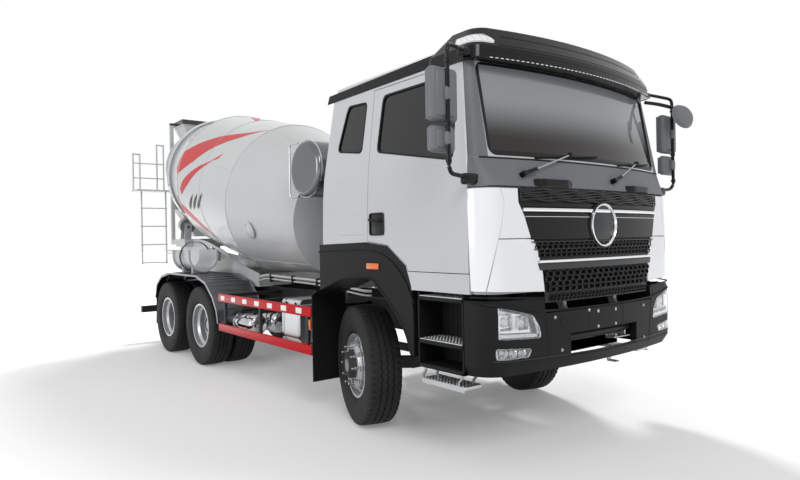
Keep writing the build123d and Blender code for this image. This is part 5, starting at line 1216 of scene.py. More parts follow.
bracket = merge(
    block((1652, 1742), (170, 400), (846, 858), 3),
    block((1652, 1664), (170, 400), (846, 905), 3),
    block((1664, 1736), (330, 342), (858, 900), 3),
    turned([(-7, 0), (-7, 14), (7, 14), (7, 0)], (1700, 250, 866), (0, 0, 1), 12),
)
put("slot_bracket", bracket, zinc, "chassis")
under = merge(
    block((1560, 1640), (250, 480), (690, 704), 3),
    block((1560, 1574), (330, 380), (620, 700), 3),
    block((1560, 1650), (330, 380), (616, 628), 3),
)
put("tow_bracket_below", under, zinc, "chassis")
# a dark skirt behind the bumper's foot
skirt_s = np.linspace(2, 1180, 33)[None].repeat(3, 0)
skirt = skin_panel(BUMPER_ROWS, np.linspace(706, 790, 3), skirt_s, -36, 8)
put("bumper_skirt", other_side(skirt), frame_black, "chassis")

# %% [markdown]
# ### Lamps
# Each lamp is worked out from its outline on the bumper. For a given Y the outline has a
# highest and a lowest Z, and a patch is the grid between those two lines.

# %% Lamp outlines and patches
# each line: its Y values, then the Z at each
HEAD_TOP = ((752, 768, 830, 1138), (966, 1040, 1128, 1205))
HEAD_LOW = ((752, 1138), (948, 968))
FOG_TOP = ((838, 1150), (892, 915))
FOG_LOW = ((838, 876, 1150), (888, 822, 828))


def lamp_patch(top, low, shrink, out, thick, side, columns=25, rows=9):
    """A bent sheet that fills a lamp's outline, drawn in by shrink."""
    y = np.linspace(top[0][0] + shrink, top[0][-1] - shrink, columns)
    high = np.interp(y, *top) - shrink
    foot = np.interp(y, *low) + shrink
    high = np.maximum(high, foot + 2)
    z = between(foot, high, rows).T
    front = on_bumper(side * y, z, out)
    return shell(front, on_bumper(side * y, z, out - thick) - front)


def lamp_rim(top, low, shrink, out, radius, side):
    """A bead round a lamp's outline."""
    y = np.linspace(top[0][0] + shrink, top[0][-1] - shrink, 25)
    upper, lower = np.interp(y, *top) - shrink, np.interp(y, *low) + shrink
    loop = np.concatenate([np.stack([y, np.maximum(upper, lower + 6)], 1), np.stack([y, lower], 1)[::-1]])
    keep = np.r_[True, np.linalg.norm(np.diff(loop, axis=0), axis=1) > 4]
    loop = rounded_path(np.concatenate([loop[keep], loop[:1]]), 6, 2)[:-1]
    path = on_bumper(side * loop[:, 0], loop[:, 1], out)
    return swept(path, circle(radius, 8), (1, 0.02, 0.01), closed=True)


SQUARE = np.array([(-1, -1), (0, -1), (1, -1), (1, 0), (1, 1), (0, 1), (-1, 1), (-1, 0)])


def square_cup(y, z, half_y, half_z, side):
    """A chromed cup: a square funnel that narrows towards its lens."""
    layers = []
    for scale, out in ((1.0, -14), (0.94, -12), (0.74, -50), (0.74, -56), (1.0, -56)):
        corners = SQUARE * [half_y * scale, half_z * scale]
        layers.append(on_bumper(side * (y + corners[:, 0]), z + corners[:, 1], out))
    points = np.stack(layers, 1)
    return points.reshape(-1, 3), [grid_faces(8, 5, round_rows=True, round_columns=True)]


reflectors, beads, cups, bulbs, strips, covers = [], [], [], [], [], []
day_strip = [((785, 1122), (988, 1006)), ((785, 1122), (966, 984))]  # its top and its foot
edge_strip = np.array([(818, 1100), (790, 1046), (776, 990)])  # Y and Z, from the top down
for side in (-1, 1):
    reflectors.append(lamp_patch(HEAD_TOP, HEAD_LOW, 1, -54, 4, side))
    reflectors.append(lamp_patch(FOG_TOP, FOG_LOW, 1, -50, 4, side))
    beads.append(lamp_rim(HEAD_TOP, HEAD_LOW, 9, -11, 6, side))
    beads.append(lamp_rim(FOG_TOP, FOG_LOW, 8, -11, 5, side))
    for y, z, half_y, half_z in ((1072, 1088, 52, 58), (922, 1074, 50, 48)):
        cups.append(square_cup(y, z, half_y, half_z, side))
        at = on_bumper(side * y, z, -52)
        facing_out = on_bumper(side * y, z, 10) - at
        bulbs.append(turned([(-4, 0), (-4, 36), (6, 36), (16, 30), (22, 18), (24, 0)], at, facing_out, 24))
    for y, z in ((1096, 874), (1010, 868), (925, 862)):
        at = on_bumper(side * y, z, -48)
        facing_out = on_bumper(side * y, z, 10) - at
        cups.append(turned([(0, 20), (26, 34), (30, 34), (30, 31), (4, 17), (0, 17)], at, facing_out, 20))
        bulbs.append(turned([(0, 0), (0, 17), (8, 14), (12, 0)], at, facing_out, 16))
    strips.append(lamp_patch(*day_strip, 0, -16, 14, side, 25, 3))
    edge_y, edge_z = [np.interp(np.linspace(0, 1, 9), (0, 0.5, 1), line) for line in edge_strip.T]
    strips.append(swept(on_bumper(side * edge_y, edge_z, -20), circle(8, 8), (0.1, 1, 0)))
    covers.append(lamp_patch(HEAD_TOP, HEAD_LOW, 4, -5, 3, side))
    covers.append(lamp_patch(FOG_TOP, FOG_LOW, 4, -5, 3, side))
put("lamp_reflectors", merge(*reflectors), chrome, "chassis", replaces=("front_lamps",))
put("lamp_beads", merge(*beads), chrome, "chassis")
put("lamp_cups", merge(*cups), chrome, "chassis")
put("lamp_inner_lenses", merge(*bulbs), white_lens, "chassis")
put("lamp_light_strips", merge(*strips), white_lens, "chassis")
put("lamp_covers", merge(*covers), clear_lens, "chassis")

# %% [markdown]
# ## Cab steps
# A dark box beside the bumper holds two treads of pressed aluminium, and a third hangs below
# it on two pairs of bent tubes, because a rigid step so low would be torn off by a kerb. The
# treads have rows of raised dimples for grip.


# %% Treads and hung step
DIMPLE_PITCH = 34.0


def tread(x, y, z, thick):
    """A plate with a turned edge and rows of round dimples on its upper face."""
    parts = [block(x, y, (z, z + thick), 3, 2)]
    xs, ys = [np.arange(low + DIMPLE_PITCH * 0.7, high - DIMPLE_PITCH * 0.5, DIMPLE_PITCH)
              for low, high in (x, y)]
    grid = np.stack(np.meshgrid(xs, ys, [z + thick], indexing="ij"), -1).reshape(-1, 3)
    dimple = turned([(-1, 0), (-1, 10), (3.5, 7), (3.5, 4), (0.5, 3.2), (0.5, 0)], (0, 0, 0), (0, 0, 1), 10)
    parts.append(copies(dimple, grid))
    edge = block((x[0], x[1]), (y[1] - 4, y[1] + 1), (z - 14, z + thick + 1), 2, 2)
    return merge(*parts, edge)


step_body = [b for b, names in frame["record"]["behaviour"]["bodies"].items() if "cab_steps" in names][0]
treads = merge(
    tread((962, 1425), (1010, 1238), 1247, 5),
    tread((962, 1425), (1010, 1238), 917, 5),
    tread((960, 1424), (1042, 1222), 588, 26),
)
put("step_treads", other_side(treads), tread_metal, step_body)
hangers = []
for x in (990, 1390):
    for y in (1062, 1208):
        line = [(x, y, 706), (x, y, 665), (x - 34, y, 640), (x - 34, y, 600)]
        hangers.append(tube(line, 11, 26, 10, (0, 1, 0)))
    hangers.append(tube([(x - 34, 1062, 600), (x - 34, 1208, 600)], 11, 10, 10))
put("step_hangers", other_side(merge(*hangers)), zinc, step_body)
# the box: its back, two side walls, three floors, and two arms to the frame
box_x, box_y, box_z = (942, 1445), (985, 1243), (700, 1278)
box_panels = [block(box_x, (985, 1003), box_z, 3)]
box_panels += [block(x, box_y, box_z, 5) for x in ((942, 960), (1427, 1445))]
box_panels += [block(box_x, box_y, z, 5) for z in ((1215, 1247), (885, 917), (700, 732))]
box_panels += [block(x, (430, 990), (840, 920), 4) for x in ((1000, 1080), (1290, 1370))]
# shallow ribs stiffen the box's back
for z in ((940, 1200), (750, 875)):
    box_panels += [block((x, x + 10), (1003, 1009), z, 3) for x in range(985, 1420, 48)]
put("step_box", other_side(merge(*box_panels)), grained, step_body, replaces=("cab_steps",))

# %% [markdown]
# ## Behind the bumper
# Through the slot and under the grille one sees the cooler, a tall block of thin fins in a
# black frame, and below it a tray that keeps road spray off the engine. The fins are really
# 2 mm apart; a row every 14 mm reads the same from outside.

# %% Cooler and splash tray
COOLER_X, FIN_PITCH = (1216, 1290), 14
cooler = [block(COOLER_X, (-425, 425), z, 6) for z in ((800, 832), (1340, 1385))]
cooler += [block(COOLER_X, (y - 14, y + 14), (826, 1346), 5) for y in (-411, 411)]
put("cooler_frame", merge(*cooler), frame_black, "chassis")
fin = block((1228, 1272), (-400, 400), (-2.5, 2.5), 1, 2)
fins = copies(fin, [(0, 0, z) for z in np.arange(838, 1338, FIN_PITCH)])
core = block((1246, 1254), (-400, 400), (830, 1342), 1)
put("cooler_fins", merge(fins, core), frame_black, "chassis")
tray_x, tray_y = np.meshgrid(np.linspace(1120, 1592, 13), np.linspace(-452, 452, 25), indexing="ij")
# the tray sinks 10 mm in the middle and has ribs across it
tray_z = 778 - 10 * (1 - (tray_y / 452) ** 4) + 2.5 * np.cos(tray_x / 60 * math.pi)
tray = np.stack([tray_x, tray_y, tray_z], -1)
put("splash_tray", shell(tray, (0, 0, 5)), grained, "chassis")

# %% [markdown]
# ## Tyres
# A road tyre for a steered axle has three zigzag grooves round it and notches along each
# shoulder, which let water out sideways. The tyre is one grid: a profile across it, carried
# round the axle in small steps. At each step the grooves' points shift sideways in a
# triangle wave, which makes the zigzag, and the shoulder's points sink for a part of each
# pitch, which makes the notches. A displaced texture would need far more points to be sharp.

# %% Tyre profile and its wave
PITCHES, STEPS = 54, 6  # pitches round the tyre, steps in one pitch
TWIN_GAP = 330.0  # from one tyre's middle to the other's
# columns: along the axle, radius, how far the zigzag moves it, how deep the notch is
half_profile = [
    (0, 529, 7, 0), (4, 529, 7, 0), (6, 542.3, 7, 0), (27, 542.1, 3, 0), (48, 541.6, 7, 0),
    (50, 528.5, 7, 0), (58, 528.5, 7, 0), (60, 541.2, 7, 0), (84, 540.2, 3, 0), (100, 539, 0, 0),
    (104, 538.6, 0, 9), (122, 537, 0, 11), (133, 530, 0, 10), (138.5, 518, 0, 6), (140.5, 505, 0, 0),
    (144.5, 500, 0, 0), (145.5, 492, 0, 0), (143.5, 488, 0, 0), (146.3, 455, 0, 0), (147, 420, 0, 0),
    (145, 385, 0, 0), (140, 352, 0, 0), (139, 349, 0, 0), (140, 345, 0, 0), (134, 328, 0, 0),
    (124, 308, 0, 0), (115, 300, 0, 0), (108, 298.9, 0, 0), (108, 289, 0, 0),
]
left_half = [(-a, r, zig, notch) for a, r, zig, notch in half_profile[:0:-1]]
tyre_profile = np.array(left_half + half_profile, float)
WAVE = np.array([-1, -0.33, 0.33, 1, 0.33, -0.33])
UP = np.array([0, 0, 1.0])


def ring_points(angle, axle):
    """Points of a circle of radius 1 square to the axle: cos a * up + sin a * ahead."""
    return np.cos(angle)[..., None] * UP + np.sin(angle)[..., None] * np.cross(axle, UP)


def tyre_shape(centre, axle, middles):
    """Point (turn, profile): out from the axle by r - notch, along it by a + zig * wave."""
    axle = np.asarray(axle, float) / np.linalg.norm(axle)
    steps = PITCHES * STEPS
    out = ring_points(np.arange(steps) * 2 * math.pi / steps, axle)[:, None]
    wave = np.tile(WAVE, PITCHES)[:, None]
    notched = (np.arange(steps) % STEPS < 2)[:, None]
    along, radius, zig, notch = tyre_profile.T
    r = radius[None] - notch[None] * notched
    a = along[None] + zig[None] * wave
    points = centre + a[..., None] * axle + r[..., None] * out
    faces = grid_faces(steps, len(tyre_profile), round_rows=True, round_columns=True)
    return merge(*[((points + axle * m).reshape(-1, 3), [faces]) for m in middles])


WHEELS = {}
for name, joint in joints.items():
    if not (name.startswith("wheel_") and name.endswith("_spin")):
        continue
    wheel = name.removeprefix("wheel_").removesuffix("_spin")
    side = -1 if "right" in wheel else 1
    # the axle's direction that points away from the truck
    outward = np.array(joint["axis"], float) * (1 if joint["axis"][1] * side > 0 else -1)
    centre, twin = from_metres(joint["pos_m"]), "rear" in wheel
    WHEELS[wheel] = (centre, outward, twin)
    shape = tyre_shape(centre, outward, (0.0, -TWIN_GAP) if twin else (0.0,))
    put(f"tread_{wheel}", shape, tyre_rubber, f"wheel_{wheel}", sharp=30, replaces=(f"tyre_{wheel}",))
print("wheels:", sorted(WHEELS))

# %% [markdown]
# ## Wheel nuts and hubs
# Ten studs hold each disc. Their nuts are bright, and the hub between them is cast iron,
# painted black. The rim's edge is polished by the tyre machine.

# %% Studs, hub covers, rim edges
STUDS, STUD_CIRCLE = 10, 167.5
# how far out from the wheel's middle plane the disc's face and the hub's end lie
DISC_FACE = {False: 150.0, True: -150.0}  # single, twin
HUB_END = {False: 202.0, True: 22.0}
nut_profile = [(-3, 0), (-3, 20), (3, 20), (5, 16.5), (25, 16), (27, 11), (52, 11), (55, 8), (55, 0)]
stud_angle = (np.arange(STUDS) + 0.5) * 2 * math.pi / STUDS
for wheel, (centre, outward, twin) in WHEELS.items():
    face, tip = DISC_FACE[twin], HUB_END[twin]
    stud_at = centre + outward * face + STUD_CIRCLE * ring_points(stud_angle, outward)
    nuts = copies(turned(nut_profile, (0, 0, 0), outward, 12), stud_at)
    put(f"nuts_{wheel}", nuts, zinc, f"wheel_{wheel}", sharp=30)
    profile = [(face - 2, 0), (face - 2, 146), (face + 4, 146), (face + 8, 137), (tip - 14, 109), (tip, 95),
               (tip, 60), (tip - 5, 56), (tip - 5, 0)]
    cover = turned(profile, centre, outward, 48)
    put(f"hub_{wheel}", cover, cast_black, f"wheel_{wheel}", bevel=1)
    edge_profile = [(114, 284), (122, 284), (123, 292), (122, 299), (119, 300.5), (114, 299)]
    edge = turned(edge_profile, centre, outward, 72)
    put(f"rim_edge_{wheel}", edge, polished, f"wheel_{wheel}")
    valve = turned([(0, 0), (0, 5), (40, 5), (44, 3), (44, 0)], centre + outward * 60 + UP * 262, outward, 8)
    put(f"valve_{wheel}", valve, zinc, f"wheel_{wheel}")

# %% [markdown]
# ## The drum
# The drum is rolled from steel plates that are welded edge to edge, so it has a weld bead
# round it wherever its cone changes, and short beads along it. It is painted light grey with
# red slanted ribbons, a plain design that shows from far off that the drum is turning. A
# ribbon is a thin sheet on the drum: its two edges are lines of (station, angle), and every
# point is lifted a little from the drum's own radius.

# %% Points on the drum
DRUM_TILT = math.radians(12.7)
drum_origin = np.array([-1900.0, 0, 1980.0])
drum_dir = np.array([-math.cos(DRUM_TILT), 0, math.sin(DRUM_TILT)])
drum_up = np.array([math.sin(DRUM_TILT), 0, math.cos(DRUM_TILT)])
DRUM_STATIONS = np.array([0.0, 1350.0, 3200.0, 4550.0, 5000.0])
DRUM_RADII = np.array([748.0, 1046.0, 1066.0, 793.0, 655.0])


def on_drum(station, angle, out=0.0):
    """origin + station * axis + (radius + out) * (cos angle * up - sin angle * Y)."""
    station, angle = np.broadcast_arrays(np.asarray(station, float), np.asarray(angle, float))
    radius = (np.interp(station, DRUM_STATIONS, DRUM_RADII) + out)[..., None]
    to_right = np.array([0, -1.0, 0])
    round_it = np.cos(angle)[..., None] * drum_up + np.sin(angle)[..., None] * to_right
    return drum_origin + station[..., None] * drum_dir + radius * round_it


def ribbon(start, stop, width, lean, points=61, across=9):
    """A band along a slanted line whose ends are cut on the slant; width and lean in mm."""
    t = np.linspace(0, 1, points)[:, None]
    w = np.linspace(-0.5, 0.5, across)[None]
    (s0, a0), (s1, a1) = start, stop
    swell = np.interp(t, (0, 0.25, 0.75, 1), (0.25, 1.0, 1.0, 0.35))
    station = s0 + (s1 - s0) * t + w * width * swell + lean * np.sin(t * math.pi)
    angle = np.radians(a0 + (a1 - a0) * (t + w * 0.12 * (1 - 2 * t)))
    front = on_drum(station, angle, 3.0)
    return shell(front, on_drum(station, angle, -1.5) - front)


THIRDS = (0, 120, 240)  # the design is repeated three times round the drum
# columns: start and stop as (station, degrees), width, lean
RED_RIBBONS = (
    ((3330, 84), (1500, 30), 560, 170),
    ((3060, 100), (1900, 62), 190, 120),
    ((3500, 108), (2350, 134), 360, -90),
)
red_bands = merge(*[
    ribbon((s0, a0 + third), (s1, a1 + third), width, lean)
    for (s0, a0), (s1, a1), width, lean in RED_RIBBONS for third in THIRDS
])
drum_red = enamel("drum_enamel_red", "#c2000f", 0.34, coat=0.04, tone=0.06, shine=0.3)
put("drum_red_ribbons", red_bands, drum_red, "drum", sharp=60)
dark_bands = merge(*[
    ribbon((2790 - 190 * k, 112 + third - 2 * k), (2560 - 190 * k, 98 + third - 2 * k), 84, 0, 17, 5)
    for third in THIRDS for k in range(3)
])
put("drum_dark_dashes", dark_bands, frit_black, "drum", sharp=60)

# %% Weld beads and the inspection cover
around = np.linspace(0, 2 * math.pi, 145)[:-1]
beads = []
for station, size in ((6, 7), (1350, 6), (2275, 4), (3200, 6), (4550, 6)):
    beads.append(swept(on_drum(station, around, 0.5), circle(size, 6), drum_dir, closed=True))
for low, high, first in ((6, 1350, 25), (1350, 2275, 70), (2275, 3200, 10), (3200, 4550, 55)):
    for third in THIRDS:
        a = math.radians(first + third)
        line = on_drum(np.linspace(low, high, 9), a, 0.0)
        beads.append(swept(line, circle(4, 6), on_drum(low, a, 100) - on_drum(low, a, 0)))
put("drum_weld_beads", merge(*beads), pale_enamel, "drum")
COVER_STATION, COVER_ANGLE = 900, math.radians(112)
cover_at = on_drum(COVER_STATION, COVER_ANGLE, -6)
cover_out = on_drum(COVER_STATION, COVER_ANGLE, 60) - cover_at
cover = turned([(-4, 0), (-4, 122), (14, 122), (18, 116), (18, 0)], cover_at, cover_out, 40)
put("drum_cover_plate", cover, pale_enamel, "drum", bevel=2)
bolt_angle = np.arange(8) * math.pi / 4
cover_normal = cover_out / np.linalg.norm(cover_out)
side_dir = np.cross(cover_normal, drum_dir)
bolt_ring = np.cos(bolt_angle)[:, None] * drum_dir + np.sin(bolt_angle)[:, None] * side_dir
bolt = turned([(-2, 0), (-2, 11), (8, 11), (8, 0)], (0, 0, 0), cover_out, 6)
bolts_at = cover_at + cover_normal * 18 + 96 * bolt_ring
put("drum_cover_bolts", copies(bolt, bolts_at), zinc, "drum")
RING_STATION = 4020
ring_at = drum_origin + drum_dir * RING_STATION
ring_faces = turned([(-64, 946), (-64, 950.5), (64, 950.5), (64, 946)], ring_at, drum_dir, 96)
put("drum_ring_track", ring_faces, polished, "drum")

# %% [markdown]
# ## Water tank
# The cleaning water is carried in a stainless tank across the frame behind the cab. Its
# dished end mirrors the sky. A bright strap clamps each end, and a bent guard bar stands
# behind the dome.

# %% Tank straps and guard bars
tank_x, tank_z = -1300.0, 2470.0
tank_axis = np.array([tank_x, 0, tank_z])
straps = []
for y, half, inside, outside in ((560, 26, 309, 313.5), (905, 8, 300, 314)):
    section = [(-half, inside), (-half, outside), (half, outside), (half, inside)]
    straps += [turned(section, (tank_x, side * y, tank_z), (0, 1, 0), 72) for side in (-1, 1)]
bar_line = tank_axis + [(-150, -930, 296), (-318, -944, 300), (-322, -944, -300), (-150, -930, -292)]
stay_line = tank_axis + [(-322, -944, 200), (-300, -944, 200), (-230, -900, 200)]
bars = [tube(bar_line, 11, 46, 10), tube(stay_line, 7, 20, 8)]
put("tank_straps", merge(*straps), polished, "chassis")
put("tank_guard_bars", other_side(merge(*bars)), polished, "chassis")
cap_profile = [(0, 0), (0, 62), (26, 62), (32, 56), (32, 22), (60, 20), (64, 14), (64, 0)]
cap = turned(cap_profile, tank_axis + [60, -420, 298], (0.2, 0, 1), 32)
put("tank_filler_cap", cap, zinc, "chassis")

# %% [markdown]
# ## Frame side: guards, tanks, fenders, pipes
# Two red rails on each side keep people away from the rear wheels. They are rolled
# channels on black brackets, and the upper one carries seven white reflective plates. Behind
# them lie the polished air tanks and a box of sheet aluminium.

# %% Side guards
(guard_rear, _, _), (guard_front, guard_y, _) = [from_metres(corner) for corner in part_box("side_guards")]
rails = []
for foot, top in ((555, 650), (930, 1030)):
    rails.append(block((guard_rear, guard_front), (1217, guard_y), (foot, top), 6, 3))
    for z in ((foot + 4, foot + 12), (top - 12, top - 4)):
        rails.append(block((guard_rear + 3, guard_front - 3), (1205, 1219), z, 2))
put("guard_rails", other_side(merge(*rails)), guard_red, "chassis", replaces=("side_guards",))
brackets = []
for x in (-820.0, -1900.0, -2900.0):
    brackets.append(block((x - 25, x + 25), (1186, 1216), (556, 1028), 5))
    brackets.append(block((x - 22, x + 22), (432, 1190), (987, 1028), 5))
    for z in (600, 980):
        brackets.append(turned([(0, 0), (0, 11), (5, 11), (6, 0)], (x, 1213, z), (0, 1, 0), 6))
put("guard_brackets", other_side(merge(*brackets)), frame_black, "chassis")
plates = [block((x - 58, x + 58), (guard_y - 2, guard_y + 2), (952, 1008), 1.2, 2)
          for x in np.linspace(-2880, -930, 7)]
put("guard_reflectors", other_side(merge(*plates)), reflector_white, "chassis")
side_marks = block((-748, -716), (1216, 1240), (800, 905), 8, 3)
put("guard_side_markers", other_side(side_marks), amber, "chassis")

# %% Air tanks, battery box, fuel tank
def strap_round(outline, x, half_width):
    """A flat strap, 6 mm thick, carried round an outline of (Y, Z) points at one X."""
    line = np.column_stack([np.full(len(outline), float(x)), outline])
    section = [(-3, -half_width), (3, -half_width), (3, half_width), (-3, half_width)]
    return swept(line, section, (1, 0.01, 0.02), closed=True)


AIR_Y, AIR_Z, STRAP_X = (-1000, -715), 665, (-2830, -2480)
dome = [(0, 0), (2, 40), (10, 80), (24, 108), (48, 125), (622, 125), (646, 108), (660, 80), (668, 40),
        (670, 0)]
cylinders = []
strap_profile = [(-16, 124.5), (-16, 128), (16, 128), (16, 124.5)]
for y in AIR_Y:
    cylinders.append(turned(dome, (-3020, y, AIR_Z), (1, 0, 0), 48))
    cylinders += [turned(strap_profile, (x, y, AIR_Z), (1, 0, 0), 48) for x in STRAP_X]
put("air_tank_shells", merge(*cylinders), polished, "chassis", replaces=("air_tanks",))
hangers = [block((x - 20, x + 20), (-1020, -432), (792, 830), 5) for x in STRAP_X]
drain_profile = [(-8, 0), (-8, 12), (26, 12), (26, 7), (44, 7), (44, 0)]
drains = [turned(drain_profile, (-2352, y, AIR_Z), (1, 0, 0), 12) for y in AIR_Y]
put("air_tank_hangers", merge(*hangers), frame_black, "chassis")
put("air_tank_valves", merge(*drains), zinc, "chassis")
around_box = rounded_path(
    [(-900, 1062), (-1132, 1062), (-1132, 608), (-598, 608), (-598, 1062), (-900, 1062)], 62, 7
)[:-1]
box_bands = [strap_round(around_box, x, 20) for x in (-1478, -1122)]
lid = block((-1503, -1097), (-1132, -602), (1000, 1012), 3)
put("battery_box_bands", merge(*box_bands, lid), polished, "chassis")
locks = [block((x - 14, x + 14), (-1140, -1130), (975, 1035), 4) for x in (-1400, -1200)]
put("battery_box_locks", merge(*locks), black_rubber, "chassis")
around_tank = rounded_path(
    [(880, 1052), (1152, 1052), (1152, 528), (598, 528), (598, 1052), (880, 1052)], 92, 8
)[:-1]
fuel_bands = [strap_round(around_tank, x, 24) for x in (-1640, -1090)]
fuel_cap = turned([(0, 0), (0, 52), (22, 52), (30, 44), (30, 0)], (-1360, 1040, 1040), (0, 0.7, 0.7), 28)
put("fuel_tank_bands", merge(*fuel_bands), polished, "chassis")
put("fuel_tank_cap", fuel_cap, black_rubber, "chassis", bevel=2)

# %% [markdown]
# The fenders are thin polished sheet with pressed ribs across them for stiffness, and a
# rolled edge. A rib is a half-round line laid on the sheet; the edge is a tube along it.

# %% Fender ribs and edges
FENDER_LINE = np.array([
    (-3060, 640), (-3105, 800), (-3235, 965), (-3480, 1140), (-3840, 1227), (-4950, 1227), (-5330, 1160),
    (-5560, 1030), (-5650, 820),
], float)
fender_run = np.r_[0, np.cumsum(np.linalg.norm(np.diff(FENDER_LINE, axis=0), axis=1))]


def fender_point(distance):
    """X and Z of the fender's line, by the distance along it."""
    return np.array([np.interp(distance, fender_run, column) for column in FENDER_LINE.T])


def along_fender(distance):
    """A point of the line and its outward normal: the run 40 mm to each side, turned by 90."""
    x, z = fender_point(distance)
    dx, dz = fender_point(distance + 40) - fender_point(distance - 40)
    length = np.hypot(dx, dz)
    return x, z, dz / length, -dx / length


RIB_PITCH, FENDER_MIDDLE_Y, FENDER_HALF = 105, 922, 283
rib_y = np.linspace(640, 1205, 9)
# a rib stands 5 mm proud and sinks to 1 mm at its ends
lift = 5.0 - 4.0 * (np.abs(rib_y - FENDER_MIDDLE_Y) / FENDER_HALF) ** 6
rib_lines = []
for distance in np.arange(180, fender_run[-1] - 100, RIB_PITCH):
    x, z, nx, nz = along_fender(distance)
    rib_lines.append(swept(np.column_stack([x + nx * lift, rib_y, z + nz * lift]), circle(7, 8)))
edge_at = np.linspace(4, fender_run[-1] - 4, 61)
x, z = fender_point(edge_at)
edge_lines = [swept(np.column_stack([x, np.full(61, y), z]), circle(8, 8), (0, 1, 0.01)) for y in (1236, 606)]
put("fender_ribs", other_side(merge(*rib_lines)), fender_steel_painted_reflection, "chassis")
put("fender_edges", other_side(merge(*edge_lines)), polished, "chassis")

# %% [markdown]
# ## Rear of the truck
# Behind the wheels hang rubber flaps that catch the spray. The under-run bar carries the rear
# lamps, each a black housing with an amber, a red and a white lens, and a bare number plate.
# Two steel pipes along the frame bring oil from the pump to the drum's motor, held by clamps.

# %% Lamps, plate, flaps and pipes
REAR_FACE = -6640.0
housing = block((REAR_FACE - 22, REAR_FACE + 2), (700, 1120), (505, 592), 8, 3)
put("rear_lamp_housings", other_side(housing), black_rubber, "chassis")
REAR_LENSES = (("amber", (1010, 1108), amber), ("red", (806, 1002), red_lens),
               ("white", (712, 798), white_lens))
for colour, y, material in REAR_LENSES:
    rear_lens = block((REAR_FACE - 30, REAR_FACE - 18), y, (513, 584), 6, 3)
    put(f"rear_lenses_{colour}", other_side(rear_lens), material, "chassis")
number_plate = merge(
    block((REAR_FACE - 8, REAR_FACE), (-240, 240), (496, 594), 3),
    block((REAR_FACE - 11, REAR_FACE - 7), (-222, 222), (503, 587), 2),
)
put("rear_plate", number_plate, reflector_white, "chassis")

FLAP_TOP, FLAP_LENGTH, FLAP_X = 845, 450, -5664
flap_z, flap_y = np.meshgrid(np.linspace(FLAP_TOP, 395, 19), np.linspace(655, 1222, 25), indexing="ij")
drop = (FLAP_TOP - flap_z) / FLAP_LENGTH
# the flap hangs straight and bows back a little near its foot, with a wave across
flap_x = FLAP_X - 16 * drop**2 - 4 * drop * np.cos(np.linspace(0, 2 * math.pi, 25))[None]
flap_front = np.stack([flap_x, flap_y, flap_z], -1)
flap_bars = block((-5676, -5655), (648, 1229), (800, 846), 3)
put("rear_flaps", other_side(shell(flap_front, (-6, 0, 0))), black_rubber, "chassis",
    sharp=50)
put("rear_flap_bars", other_side(flap_bars), frame_black, "chassis")

PIPE_Y = -556
pipe_line = np.array([(-3280, 0, -40), (-3060, 0, 0), (-1750, 0, -20), (-760, 0, -90), (-700, 60, -96)])
pipes = [tube(pipe_line + [0, PIPE_Y, z], radius, 90, 12) for z, radius in ((1232, 16), (1186, 11))]
clamps = []
for x in (-2900, -2300, -1700, -1150):
    # the pipes sink towards the front, and the clamps with them
    sink = float(np.interp(x, (-1750, -760), (20, 90))) if x > -1750 else 12.0
    clamps.append(block((x - 16, x + 16), (-580, -440), (1158 - sink, 1172 - sink), 4))
    clamps.append(block((x - 16, x + 16), (-582, -530), (1172 - sink, 1262 - sink), 7, 3))
put("oil_pipes", merge(*pipes), pale_enamel, "chassis")
put("oil_pipe_clamps", merge(*clamps), frame_black, "chassis")
# a rubber strap holds the spare trough; it follows the round bottom and lies flat across the top
turn_at = np.arange(48) * math.pi / 24
trough_z = np.minimum(1480 + 224 * np.sin(turn_at), 1694.0)
around_trough = np.column_stack([-1000 + 224 * np.cos(turn_at), trough_z])
put("spare_trough_strap", strap_round(around_trough, -4500, 26), black_rubber, "chassis")

# %% [markdown]
# ## Seats
# A driver's seat is foam under a woven cover. The foam crowns in the middle, its sides pull
# in between the corners, and two sewn channels run over it. The real ones could be blown up
# as cloth, but they are seen only through dark glass, so each cushion is one closed form:
# a ball pushed out towards a box, then crowned, drawn in and grooved by formulas.

# %% Cushions
def power(value, exponent):
    """A power that keeps the sign."""
    return np.sign(value) * np.abs(value) ** exponent


def cushion(low, high, thick_axis, crown, channels, rows=49, columns=96):
    """A ball's directions are raised to a power below 1, then crowned, drawn in and grooved."""
    low, high = np.array(low, float), np.array(high, float)
    half, middle = (high - low) / 2, (high + low) / 2
    up = np.linspace(-math.pi / 2, math.pi / 2, rows)[1:-1, None]
    turn = (np.arange(columns) * 2 * math.pi / columns)[None]
    # powers below 1 push the ball out towards a box
    flat = power(np.cos(up), 0.42)
    rise = power(np.sin(up), 0.42) + 0 * turn
    ball = np.stack([flat * power(np.cos(turn), 0.34), flat * power(np.sin(turn), 0.34), rise], -1)
    poles = np.array([[[0, 0, -1.0]], [[0, 0, 1.0]]])
    ball = np.concatenate([np.repeat(poles[:1], columns, 1), ball, np.repeat(poles[1:], columns, 1)])
    # the ball's own Z is the cushion's thickness; turn it to the axis that the cushion faces
    order = {2: (0, 1, 2), 0: (2, 1, 0)}[thick_axis]
    u, v, w = ball[..., 0], ball[..., 1], ball[..., 2]
    # the sides draw in by a few hundredths between the corners
    pulled_u = u * (1 - 0.045 * (1 - v**2))
    pulled_v = v * (1 - 0.035 * (1 - u**2))
    # the middle crowns, the channels sink, and a seam stands out round the edge
    dome = (1 - u**2) * (1 - v**2)
    groove = sum(np.exp(-(((v - at) / 0.035) ** 2)) for at in channels) if channels else 0.0
    seam = np.exp(-((w / 0.10) ** 2)) * 0.02
    scale_w = 1 - crown * (1 - dome) - 0.10 * groove * (np.abs(w) > 0.5) * (1 - u**4)
    solid = np.stack([pulled_u * (1 + seam), pulled_v * (1 + seam), w * scale_w], -1) * 0.975
    points = solid[..., list(order)] * half + middle
    return points.reshape(-1, 3), [grid_faces(rows, columns, round_columns=True)]


THREAD_M = 0.009


